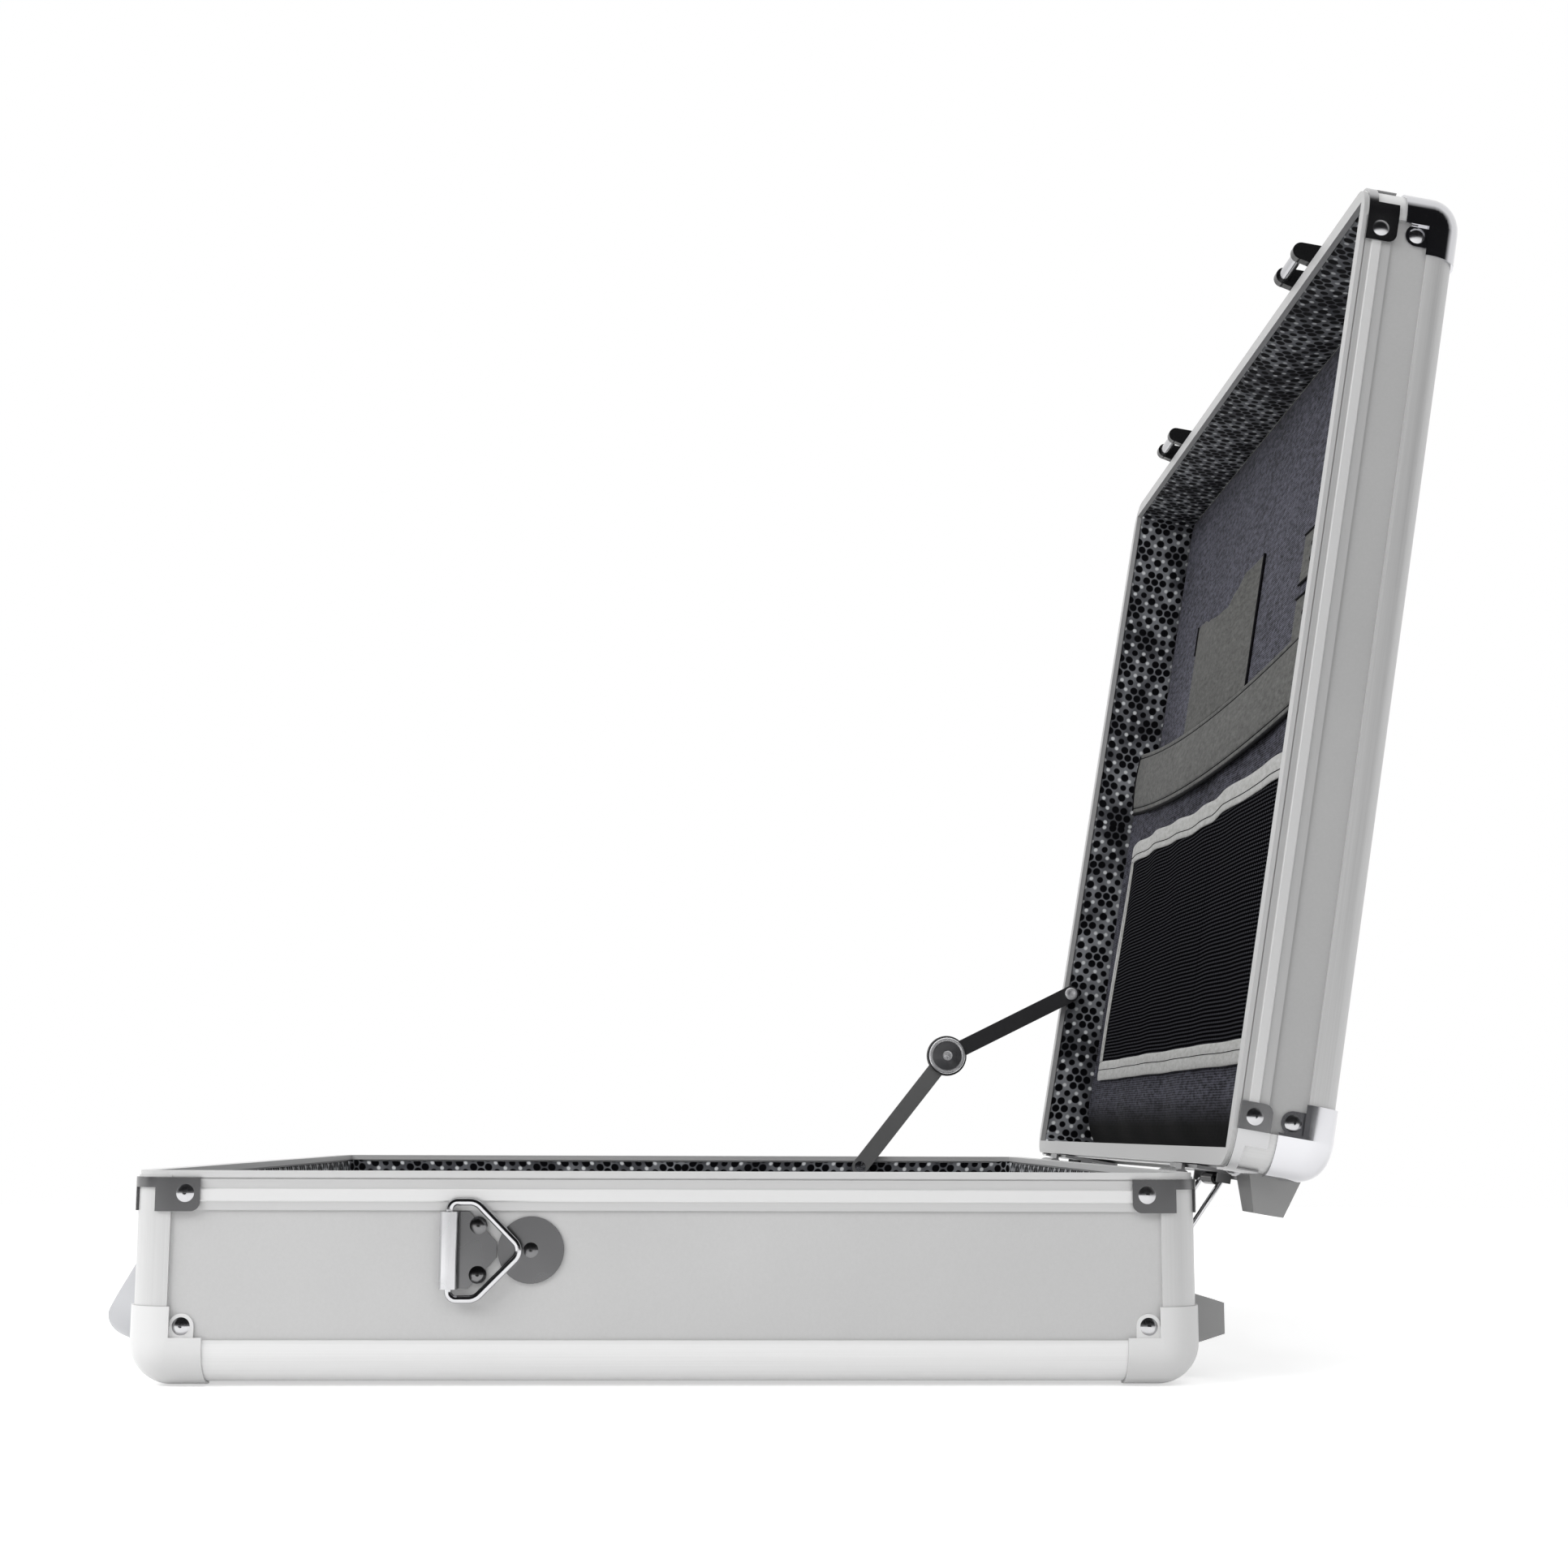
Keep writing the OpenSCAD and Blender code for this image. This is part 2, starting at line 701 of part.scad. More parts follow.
// The handle, drawn pointing straight forwards from its pivots at the origin
module handle_shape() {
  grip_in = handle_reach - grip_t;
  round_r = grip_t / 2;
  eye_end = handle_eye_r + clear + handle_eye_wall;
  difference() {
    union() {
      intersection() {
        // Outline seen from the side
        rotate([90, 0, 90]) linear_extrude(handle_w, center = true) {
          translate([-handle_reach + round_r, 0]) {
            both_y() translate([0, grip_h / 2 - round_r]) circle(round_r);
            translate([-round_r, -grip_h / 2 + round_r]) square([grip_t, grip_h - grip_t]);
          }
          polygon([[-eye_end, handle_eye_r], [-handle_reach + round_r, grip_h / 2],
            [-handle_reach + round_r, -grip_h / 2], [-eye_end, -handle_eye_r]]);
        }
        // Outline seen from above
        translate([0, 0, -grip_h]) linear_extrude(2 * grip_h) difference() {
          translate([-handle_w / 2, -handle_reach]) square([handle_w, handle_reach]);
          both_x() translate([-handle_w / 2, -handle_reach]) corner_cut(handle_corner_r);
          difference() {
            translate([-handle_w / 2 + handle_arm_w, -grip_in])
              square([handle_w - 2 * handle_arm_w, handle_reach]);
            both_x() translate([-handle_w / 2 + handle_arm_w, -grip_in]) corner_cut(handle_inner_r);
          }
        }
      }
      at_handle_arms() {
        rotate([0, 90, 0]) cylinder(r = handle_eye_r, h = handle_eye_w, center = true);
        translate([-handle_eye_w / 2, -eye_end - over, -handle_eye_r])
          cube([handle_eye_w, eye_end + over, 2 * handle_eye_r]);
      }
    }
    at_handle_arms() rotate([0, 90, 0])
      cylinder(d = handle_pin_d + 2 * clear, h = handle_eye_w + 2 * over, center = true);
  }
}

module handle_grip() color("whitesmoke") translate([0, handle_pivot_y, handle_z])
  rotate([90 - handle_lean, 0, 0]) handle_shape();

// Latches

module at_latches() {
  both_x() translate([latch_x, 0, 0]) children();
}

module latch_bodies() color("lightgray") at_latches() {
  top = base_h - skirt_h(base_bands) - clear;
  body_face = front_y + proud - latch_plate_t - latch_body_t;
  lug_w = 3;
  lug_x = hasp_w / 2 + clear;
  difference() {
    translate([-latch_w / 2, front_y + proud - latch_plate_t, top - latch_h])
      cube([latch_w, latch_plate_t, latch_h]);
    both_x() translate([-latch_w / 2, front_y, top - latch_h]) rotate([90, 0, 0])
      translate([0, 0, -2 * proud]) linear_extrude(4 * proud) corner_cut(clip_round);
  }
  translate([-lug_x - lug_w, body_face, top - latch_h + latch_screw_in])
    cube([2 * (lug_x + lug_w), latch_body_t, latch_h - 2 * latch_screw_in]);
  both_x() translate([lug_x, 0, 0]) difference() {
    union() {
      translate([0, hasp_y, hasp_z]) rotate([0, 90, 0]) cylinder(r = hasp_barrel_r + clear, h = lug_w);
      translate([0, hasp_y, hasp_z - hasp_barrel_r - clear])
        cube([lug_w, body_face - hasp_y, 2 * (hasp_barrel_r + clear)]);
    }
    translate([-over, hasp_y, hasp_z]) rotate([0, 90, 0]) cylinder(d = hasp_pin_d, h = lug_w + 2 * over);
  }
  both_x() translate([latch_w / 2 - latch_screw_in, front_y + proud - latch_plate_t, top - latch_h / 2])
    rotate([90, 0, 0]) rivet(rivet_d * 0.8, rivet_h);
}

module latch_pins() color("whitesmoke") at_latches()
  translate([0, hasp_y, hasp_z]) rotate([0, 90, 0])
    cylinder(d = hasp_pin_d, h = hasp_w + 2 * (clear + hasp_pin_out), center = true);

// The hasp, drawn latched, with its pivot at the origin: its claw hooks over the roller
module hasp_shape() {
  rise = roller_z - hasp_z;
  over_roller = rise + roller_d / 2 + clear;
  plate_out = (roller_y - hasp_y) - roller_d / 2 - clear;
  plate_y = plate_out - hasp_t;
  waist = rise - cheek_r - 2 * clear;
  difference() {
    union() {
      rotate([0, 90, 0]) cylinder(r = hasp_barrel_r, h = hasp_w, center = true);
      translate([-hasp_w / 2, plate_y, 0]) cube([hasp_w, hasp_t, waist]);
      translate([-hasp_w / 2, plate_y, 0]) cube([hasp_w, -plate_y, hasp_barrel_r]);
      translate([-claw_w / 2, plate_y, waist]) cube([claw_w, hasp_t, over_roller - waist + hasp_t]);
      translate([-claw_w / 2, plate_out, over_roller]) cube([claw_w, roller_d / 2 + clear, hasp_t]);
      both_x() translate([hasp_w / 2 - hasp_t, plate_out, hasp_barrel_r]) cube([hasp_t, hasp_t, waist - hasp_barrel_r]);
    }
    rotate([0, 90, 0]) cylinder(d = hasp_pin_d + 2 * clear, h = hasp_w + 2 * over, center = true);
  }
}

module hanging_hasp() {
  translate([latch_x, hasp_y, hasp_z]) rotate([hasp_open, 0, 0]) hasp_shape();
}

module latch_hasp_right() color("lightgray") hanging_hasp();

module latch_hasp_left() color("lightgray") mirror([1, 0, 0]) hanging_hasp();

// Strap rings

// Right side, seen from outside: X runs to the back along the wall, Y is up, and Z points outwards
module on_right_wall(out) {
  translate([out, -ring_y, ring_z]) rotate([90, 0, 90]) children();
}

module ring_plates() color("lightgray") both_x() on_right_wall(case_w / 2 - proud) {
  half = ring_sleeve_h / 2;
  difference() {
    union() {
      translate([0, 0, ring_sleeve_r]) rotate([90, 0, 0])
        cylinder(r = ring_sleeve_r, h = ring_sleeve_h, center = true);
      linear_extrude(ring_plate_t) polygon([[0, -half], [half / 2, -half], [ring_plate_reach, -half / 5],
        [ring_plate_reach, half / 5], [half / 2, half], [0, half]]);
    }
    translate([0, 0, ring_sleeve_r]) rotate([90, 0, 0])
      cylinder(d = ring_wire_d + 2 * clear, h = ring_sleeve_h + 2 * over, center = true);
  }
  both_y() translate([ring_rivet_u, ring_rivet_v, ring_plate_t]) rivet();
}

module ring_discs() color("lightgray") both_x() on_right_wall(case_w / 2 - proud) {
  translate([ring_disc_u, 0, 0]) {
    cylinder(d = ring_disc_d, h = ring_disc_t);
    translate([0, 0, ring_disc_t]) rivet(rivet_d * 0.85, rivet_h * 0.7);
  }
}

module strap_ring() {
  half = ring_h / 2;
  bend = ring_wire_d;
  shoulder = ring_reach - half;
  on_right_wall(ring_axis_x) wire_loop([[0, -half, bend], [shoulder, -half, 2 * bend],
    [ring_reach, 0, 1.6 * bend], [shoulder, half, 2 * bend], [0, half, bend]], ring_wire_d);
}

module strap_ring_right() color("whitesmoke") strap_ring();

module strap_ring_left() color("whitesmoke") mirror([1, 0, 0]) strap_ring();

// Hinges

module at_hinges() {
  both_x() translate([hinge_x, 0, 0]) children();
}

// The knuckles: the base's leaf has the two outer ones, the lid's the middle one
// The knuckles stand between the legs of the bail
knuckles_w = bail_w - bail_wire_d - 2 * leg_gap;
knuckle_w = knuckles_w / 3;
module knuckle(from, to) {
  translate([from, hinge_y, hinge_z]) rotate([0, 90, 0]) cylinder(r = knuckle_r, h = to - from);
}

module pin_bore() {
  translate([-hinge_w / 2 - over, hinge_y, hinge_z]) rotate([0, 90, 0])
    cylinder(d = hinge_pin_d + 2 * play, h = hinge_w + 2 * over);
}

// Flat-headed rivet of a hinge leaf
module leaf_rivet()
  rotate([-90, 0, 0]) cylinder(d1 = leaf_rivet_d, d2 = leaf_rivet_d * rivet_crown_share, h = rivet_h + rivet_sink);

module hinge_base_leaves() color("lightgray") at_hinges() {
  wall = case_d / 2;
  top = hinge_z - knuckle_r + leaf_t + knuckle_tuck;
  difference() {
    union() {
      translate([0, wall, 0]) bar(hinge_w) polygon([[0, top], [0, top - leaf_low], [leaf_t, top - leaf_low],
        [leaf_t, top]]);
      translate([0, wall, 0]) bar(knuckles_w) polygon([[0, top], [0, top - leaf_t], [hinge_back, top - leaf_t],
        [hinge_back, top]]);
      both_x() knuckle(knuckle_w / 2 + hinge_gap, knuckles_w / 2);
    }
    translate([-knuckle_w / 2 - hinge_gap, hinge_y - knuckle_r - clear, hinge_z - knuckle_r - clear])
      cube([knuckle_w + 2 * hinge_gap, 2 * (knuckle_r + clear), 2 * (knuckle_r + clear)]);
    both_x() translate([knuckle_w / 2, hinge_y, hinge_z]) rotate([0, 90, 0])
      cylinder(d = hinge_pin_d, h = knuckles_w);
  }
  // A pad fills the step between the leaf and the board below the rim's skirt
  translate([-hinge_w / 2, wall - proud, top - leaf_low])
    cube([hinge_w, proud, leaf_low - (top - (base_h - skirt_h(base_bands)))]);
  // Rails that guide the bail's foot
  both_x() translate([bail_w / 2 + bail_wire_d / 2 + clear, wall + leaf_t, top - leaf_low])
    cube([leaf_t, leaf_t, leaf_low * 0.7]);
  both_x() translate([leaf_rivet_x, wall + leaf_t - rivet_sink, top - leaf_low + leaf_rivet_in]) leaf_rivet();
}

module hinge_pins() color("whitesmoke") at_hinges()
  translate([-knuckles_w / 2, hinge_y, hinge_z]) rotate([0, 90, 0]) cylinder(d = hinge_pin_d, h = knuckles_w);

module hinge_lid_leaves() color("lightgray") opened_lid() at_hinges() {
  wall = case_d / 2;
  low = hinge_z + knuckle_r - leaf_t - knuckle_tuck;
  difference() {
    union() {
      translate([0, wall, 0]) bar(hinge_w) polygon([[0, low + leaf_t + clear], [0, low + leaf_lid_up],
        [leaf_t, low + leaf_lid_up], [leaf_t, low + leaf_t + clear]]);
      translate([0, wall, 0]) bar(knuckle_w) polygon([[0, low], [0, low + leaf_t + clear],
        [leaf_t, low + leaf_t + clear], [leaf_t, low + leaf_t], [hinge_back, low + leaf_t], [hinge_back, low]]);
      knuckle(-knuckle_w / 2, knuckle_w / 2);
    }
    pin_bore();
  }
  both_x() translate([leaf_rivet_x, wall + leaf_t - rivet_sink, low + leaf_lid_up - leaf_rivet_in]) leaf_rivet();
  // Lugs that hold the bail's sleeve
  both_x() translate([bail_w / 2 + bail_wire_d / 2 + clear, wall + leaf_t, hinge_z + bail_lug_up - 2 * leaf_t])
    cube([leaf_t, bail_lug_out, 4 * leaf_t]);
}

// Black sleeves on the bails' upper bars, held between the lugs of the lid's leaves
module bail_sleeves() color("black") opened_lid() at_hinges()
  translate([0, case_d / 2 + bail_lug_out, hinge_z + bail_lug_up]) difference() {
    rotate([0, 90, 0]) cylinder(r = bail_lug_out - leaf_t, h = bail_w / 2, center = true);
    rotate([0, 90, 0]) cylinder(d = bail_wire_d + 2 * clear, h = bail_w, center = true);
  }

// The bail, drawn hanging from its upper bar at the origin
module bail_shape() {
  bend = bail_wire_d;
  rotate([90, 0, 0]) wire_loop([[-bail_w / 2, 0, bend], [-bail_w / 2, -bail_len, bend],
    [bail_w / 2, -bail_len, bend], [bail_w / 2, 0, bend]], bail_wire_d);
}

module hinge_bail() {
  translate([hinge_x, bail_top[0], bail_top[1]]) rotate([-bail_lean, 0, 0]) bail_shape();
}

module hinge_bail_right() color("gray") hinge_bail();

module hinge_bail_left() color("gray") mirror([1, 0, 0]) hinge_bail();

// Stay on the left wall, seen from the middle of the case

// Layer N of the stay, counted from the lining: X is the distance from the lining
module stay_layer(at, point) {
  translate([-stay_x + at, point[0], point[1]]) rotate([0, 90, 0]) children();
}

low_layer = stay_gap;
high_layer = stay_gap + stay_arm_t + clear;
cover_layer = high_layer + stay_arm_t;

// An arm from the origin along +Y, in the plane of Y and Z, with a wide round head at its end
module arm_shape(length, head_d) {
  rotate([90, 0, 90]) linear_extrude(stay_arm_t) {
    circle(d = stay_arm_w);
    translate([0, -stay_arm_w / 2]) square([length - head_d / 4, stay_arm_w]);
    translate([length, 0]) circle(d = head_d);
  }
}

module stay_base_pivot() color("silver") {
  stay_layer(0, stay_a) cylinder(d = stay_rivet_d * 1.2, h = stay_gap - play);
  stay_layer(0, stay_a) cylinder(d = stay_pin_d, h = low_layer + stay_arm_t);
  stay_layer(low_layer + stay_arm_t + play, stay_a) rivet(stay_rivet_d, rivet_h * 0.8);
  stay_layer(low_layer + stay_arm_t, stay_a) cylinder(d = stay_pin_d, h = play);
}

module stay_lower_arm() color("dimgray") difference() {
  translate([-stay_x + low_layer, stay_a[0], stay_a[1]]) rotate([stay_low_angle, 0, 0])
    arm_shape(stay_arm, elbow_d);
  stay_layer(0, stay_a) cylinder(d = stay_pin_d + 2 * clear, h = case_w / 2);
  stay_layer(0, stay_e) cylinder(d = stay_pin_d + 2 * clear, h = case_w / 2);
}

// The upper arm carries the rivet through the elbow
module stay_upper_arm() color("dimgray") {
  difference() {
    translate([-stay_x + high_layer, stay_b[0], stay_b[1]]) rotate([stay_high_angle + 180, 0, 0])
      arm_shape(stay_arm, elbow_d * 0.96);
    stay_layer(0, stay_b) cylinder(d = stay_pin_d, h = case_w / 2);
  }
  stay_layer(low_layer - play, stay_e) cylinder(d = stay_pin_d, h = high_layer - low_layer + play);
  stay_layer(high_layer, stay_b) cylinder(d = stay_pin_d, h = stay_arm_t);
  stay_layer(high_layer + stay_arm_t, stay_b) rivet(stay_rivet_d, rivet_h * 0.8);
}

// A domed cover over the elbow, with a raised ring and a rivet in its middle
module stay_elbow_cover() color("whitesmoke") stay_layer(cover_layer, stay_e) {
  rivet(elbow_d * 0.9, cover_h);
}

module stay_lid_stud() color("silver") stay_layer(0, stay_b)
  cylinder(d = stay_rivet_d * 1.2, h = high_layer - clear);

// Lid shell

module lid_top_board() color("dimgray") as_lid() flat_board(lid_edge_r, lid_board_t);

lid_board_low = cap_foot + lid_edge_r - slot_depth;

module lid_front_panel() color("darkgray") as_lid() front_board(lid_board_low, lid_h - rim_top_t);

module lid_back_panel() color("darkgray") as_lid()
  mirror([0, 1, 0]) front_board(lid_board_low, lid_h - rim_top_t);

module lid_right_panel() color("darkgray") as_lid() right_board(lid_board_low, lid_h - rim_top_t);

module lid_left_panel() color("darkgray") as_lid()
  mirror([1, 0, 0]) right_board(lid_board_low, lid_h - rim_top_t);

module lid_edge_bars() color("lightgray") as_lid() edge_bars(lid_edge_r, lid_board_t);

module lid_corner_posts() color("lightgray") as_lid()
  corner_posts(cap_foot + lid_edge_r + edge_lip, lid_h - rim_top_t);

module lid_corner_caps() color("lightgray") as_lid() corner_caps(lid_edge_r, lid_cap_h);

module lid_corner_clips() color("lightgray") as_lid() rim_clips(lid_h - lid_bands[0]);

module lid_rim_frame() color("lightgray") as_lid() rim_frame(lid_h, lid_bands);

lid_rivet_up = cap_foot + lid_edge_r + edge_lip + cap_t + rivet_d * 0.62;
lid_clip_up = lid_h - lid_bands[0] - clip_h / 2 + clip_rivet_rise;
module lid_rivets() color("whitesmoke") as_lid() shell_rivets(lid_edge_r, lid_cap_h, lid_rivet_up, lid_clip_up);

module lid_lining() color("black") as_lid()
  wall_lining(cap_foot + lid_top_in, lid_h - rim_lip_h);

module lid_rear_feet() color("gray") opened_lid()
  rear_foot(lid_foot_z, lid_foot_z - foot_root / 2, lid_top_z - cap_foot - lid_edge_r - edge_lip - clear);

// Keepers on the lid's front, each a plate with a roller between two cheeks

module latch_keepers() color("lightgray") opened_lid() at_latches() {
  low = lid_rim_z + lid_bands[0];
  difference() {
    translate([-latch_w / 2, front_y - keeper_t, low]) cube([latch_w, keeper_t, keeper_h]);
    both_x() translate([-latch_w / 2, front_y + over, low + keeper_h]) rotate([90, 0, 0])
      linear_extrude(keeper_t + 2 * over) mirror([0, 1, 0]) corner_cut(clip_round);
  }
  both_x() translate([latch_w / 2 - latch_screw_in, front_y - keeper_t, low + keeper_h / 2])
    rotate([90, 0, 0]) rivet(rivet_d * 0.7, rivet_h);
}

module keeper_cheeks() color("black") opened_lid() at_latches()
  both_x() translate([cheek_x - cheek_t / 2, 0, 0]) rotate([90, 0, 90]) linear_extrude(cheek_t) {
    low = lid_rim_z + lid_bands[0];
    translate([roller_y, roller_z]) circle(cheek_r);
    polygon([[roller_y - cheek_r, roller_z], [roller_y - cheek_r, low + keeper_h / 2],
      [front_y - keeper_t, low + keeper_h - clip_round], [front_y - keeper_t, low], [roller_y + cheek_r, roller_z]]);
  }

module keeper_rollers() color("whitesmoke") opened_lid() at_latches()
  translate([0, roller_y, roller_z]) rotate([0, 90, 0])
    cylinder(d = roller_d, h = 2 * cheek_x - cheek_t, center = true);

// Organiser: pieces are drawn as the closed lid holds them, with Z falling away from the board

// A flat slab that hangs below a height, from a front edge to a back edge
module slab(w, front, back, top, thickness, x = 0) {
  translate([x - w / 2, front, top - thickness]) cube([w, back - front, thickness]);
}

module organiser_panel() color("slategray") opened_lid()
  slab(inner_w, -inner_d / 2, inner_d / 2, organiser_z, organiser_t);

pocket_front = case_d * -0.02;
pocket_back = inner_d / 2 - soft_gap;
pocket_w = inner_w - 2 * (cover_layer + cover_h);
pocket_t = 1.2;
// Outline of the pocket from the side, and of its hollow, which is open at the front
module pocket_outline(inset) {
  difference() {
    translate([pocket_front - sign(inset) * over, -pocket_depth + inset])
      square([pocket_back - inset - pocket_front + sign(inset) * over, pocket_depth]);
    translate([pocket_back - inset, -pocket_depth + inset]) mirror([1, 0])
      corner_cut(pocket_depth - organiser_t - inset);
    translate([pocket_front - case_d / 2, 0]) square(case_d);
  }
}

band_h = 31;
module document_pocket() color("slategray") opened_lid()
  translate([0, 0, panel_z]) difference() {
    bar(pocket_w) pocket_outline(0);
    bar(pocket_w - 2 * pocket_t) pocket_outline(pocket_t);
  }

// The band round the pocket's mouth, with its two ends turned back to the board
module pocket_band() color("dimgray") opened_lid() {
  slab(pocket_w, pocket_front - band_h, pocket_front, pocket_z + pocket_t, pocket_t);
  both_x() translate([pocket_w / 2 - pocket_t, pocket_front - band_h, pocket_z + pocket_t])
    cube([pocket_t, band_h, pocket_depth - pocket_t]);
}

mesh_front = case_d * 0.05;
mesh_back = case_d * 0.385;
mesh_t = 1.2;
module mesh_pocket() color("black") opened_lid()
  slab(mesh_w - 2 * binding_w, mesh_front + binding_w, mesh_back - binding_w, pocket_z, mesh_t);

module mesh_binding() color("silver") opened_lid()
  translate([0, (mesh_front + mesh_back) / 2, pocket_z - mesh_t]) linear_extrude(mesh_t) difference() {
    square([mesh_w, mesh_back - mesh_front], center = true);
    square([mesh_w - 2 * binding_w, mesh_back - mesh_front - 2 * binding_w], center = true);
  }

card_w = 133;
card_x = case_w * -0.175;
card_front = case_d * -0.29;
card_t = 1.5;
module card_pocket() color("gray") opened_lid()
  slab(card_w, card_front, pocket_front - band_h - soft_gap, panel_z, card_t, card_x);

loop_w = 22;
loop_h = 21;
loop_t = 4;
loop_rows = [case_d * -0.256, case_d * -0.1765];
module pen_loops() color("gray") opened_lid()
  for (row = loop_rows, i = [0 : 2])
    translate([case_w * 0.3 + i * loop_w, row, panel_z]) rotate([-90, 0, 0]) linear_extrude(loop_h)
      difference() {
        intersection() {
          circle(loop_w / 2);
          translate([-loop_w / 2, 0]) square([loop_w, loop_w / 2]);
        }
        circle(loop_w / 2 - loop_t / 2);
      }

base_bottom_board();
base_front_panel();
base_back_panel();
base_right_panel();
base_left_panel();
base_edge_bars();
base_corner_posts();
base_corner_caps();
base_corner_clips();
base_rim_frame();
base_rivets();
base_lining();
base_floor_pad();
base_rear_feet();
handle_brackets();
handle_pins();
handle_grip();
latch_bodies();
latch_pins();
latch_hasp_right();
latch_hasp_left();
ring_plates();
ring_discs();
strap_ring_right();
strap_ring_left();
hinge_base_leaves();
hinge_pins();
stay_base_pivot();
stay_lower_arm();
stay_upper_arm();
stay_elbow_cover();
lid_top_board();
lid_front_panel();
lid_back_panel();
lid_right_panel();
lid_left_panel();
lid_edge_bars();
lid_corner_posts();
lid_corner_caps();
lid_corner_clips();
lid_rim_frame();
lid_rivets();
lid_lining();
lid_rear_feet();
latch_keepers();
keeper_cheeks();
keeper_rollers();
hinge_lid_leaves();
bail_sleeves();
hinge_bail_right();
hinge_bail_left();
stay_lid_stud();
organiser_panel();
document_pocket();
pocket_band();
mesh_pocket();
mesh_binding();
card_pocket();
pen_loops();
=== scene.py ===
import math
import bmesh
import bpy
from mathutils import Matrix, Vector


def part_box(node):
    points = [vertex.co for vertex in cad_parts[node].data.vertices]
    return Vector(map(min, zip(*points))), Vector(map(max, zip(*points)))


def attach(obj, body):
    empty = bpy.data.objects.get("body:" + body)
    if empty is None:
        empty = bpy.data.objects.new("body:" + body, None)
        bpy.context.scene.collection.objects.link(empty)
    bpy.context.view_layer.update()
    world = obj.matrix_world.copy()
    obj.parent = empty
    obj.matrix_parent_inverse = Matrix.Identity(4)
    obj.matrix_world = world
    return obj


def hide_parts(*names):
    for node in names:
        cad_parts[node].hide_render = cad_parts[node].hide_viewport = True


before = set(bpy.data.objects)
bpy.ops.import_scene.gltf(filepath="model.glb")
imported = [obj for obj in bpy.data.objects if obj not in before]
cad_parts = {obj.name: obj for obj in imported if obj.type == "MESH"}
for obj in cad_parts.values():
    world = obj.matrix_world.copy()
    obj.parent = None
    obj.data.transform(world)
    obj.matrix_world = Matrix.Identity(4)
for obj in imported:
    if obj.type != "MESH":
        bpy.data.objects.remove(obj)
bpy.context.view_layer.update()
print("frame loaded:", len(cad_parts), "nodes")

mm = 0.001  # sizes below are in millimetres, and a mesh is brought to metres as it is finished

# How the lid stands: its opening angle and its hinge line
lidPose = {"openAngle": 99.7, "hingeY": 175.2, "hingeZ": 64.4}


def turnedLid():
    hinge = Vector((0, lidPose["hingeY"], lidPose["hingeZ"]))
    swing = Matrix.Rotation(-math.radians(lidPose["openAngle"]), 4, "X")
    return Matrix.Translation(hinge) @ swing @ Matrix.Translation(-hinge)


lidTurn = turnedLid()
lidBack = lidTurn.inverted()


def lidBox(name):
    # lowest and highest corner of a lid node, with the lid thought closed
    corners = [lidBack @ (v.co / mm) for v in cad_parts[name].data.vertices]
    return [Vector([pick(c[i] for c in corners) for i in range(3)]) for pick in (min, max)]


def baseBox(name):
    low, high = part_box(name)
    return Vector(low) / mm, Vector(high) / mm


def addObject(name, data):
    made = bpy.data.objects.new(name, data)
    bpy.context.scene.collection.objects.link(made)
    return made


camera = {
    "place": (966.3, 10.3, 80.8),
    "rise": 0.1471,  # upward tilt in radians
    "swing": 0.0342,  # turn towards the hinges
    "roll": 0.0033,
    "lens": 53.35,
    "sensor": 36,
}


def makeCamera():
    rise, swing, roll = camera["rise"], camera["swing"], camera["roll"]
    ahead = Vector((-math.cos(rise) * math.cos(swing), math.cos(rise) * math.sin(swing), math.sin(rise)))
    right = ahead.cross(Vector((0, 0, 1))).normalized()
    up = right.cross(ahead)
    across = math.cos(roll) * right + math.sin(roll) * up
    upward = -math.sin(roll) * right + math.cos(roll) * up
    data = bpy.data.cameras.new("photoCamera")
    data.lens = camera["lens"]
    data.sensor_width = camera["sensor"]
    data.clip_start = 0.01
    eye = addObject("photoCamera", data)
    turn = Matrix((across, upward, -ahead)).transposed().to_4x4()
    eye.matrix_world = Matrix.Translation(Vector(camera["place"]) * mm) @ turn
    bpy.context.scene.camera = eye


makeCamera()
print("camera placed")


def toLinear(code):
    # sRGB hex code to the linear colour that shaders take
    parts = [int(code[i:i + 2], 16) / 255 for i in (1, 3, 5)]
    return [p / 12.92 if p <= 0.04045 else ((p + 0.055) / 1.055) ** 2.4 for p in parts] + [1]


def addNode(tree, kind, settings={}):
    # a setting is a switch of the node, a pair of Min and Max sockets or a socket, which takes a value, a hex
    # code, an output or a node for its first output
    node = tree.nodes.new("ShaderNode" + kind)
    for key, value in settings.items():
        if isinstance(value, bpy.types.Node):
            value = value.outputs[0]
        if isinstance(value, bpy.types.NodeSocket):
            tree.links.new(value, node.inputs[key])
        elif isinstance(key, str) and hasattr(node, key):
            setattr(node, key, value)
        elif key in ("From", "To"):
            node.inputs[key + " Min"].default_value, node.inputs[key + " Max"].default_value = value
        else:
            node.inputs[key].default_value = toLinear(value) if isinstance(value, str) else value
    return node


def newMaterial(name, settings, onLid=False):
    # a material, and its place in millimetres, turned back with the lid where it rides on the lid
    material = bpy.data.materials.new(name)
    material.use_nodes = True
    tree = material.node_tree
    tree.nodes.clear()
    shader = addNode(tree, "BsdfPrincipled", settings)
    addNode(tree, "OutputMaterial", {"Surface": shader})
    spot = addNode(tree, "TexCoord").outputs["Object"]
    turn = (math.radians(lidPose["openAngle"]) if onLid else 0, 0, 0)
    shift = lidBack.translation if onLid else (0, 0, 0)
    place = addNode(tree, "Mapping", {"Location": shift, "Rotation": turn, "Scale": (1 / mm,) * 3,
                                      "Vector": spot})
    return material, tree, shader, place


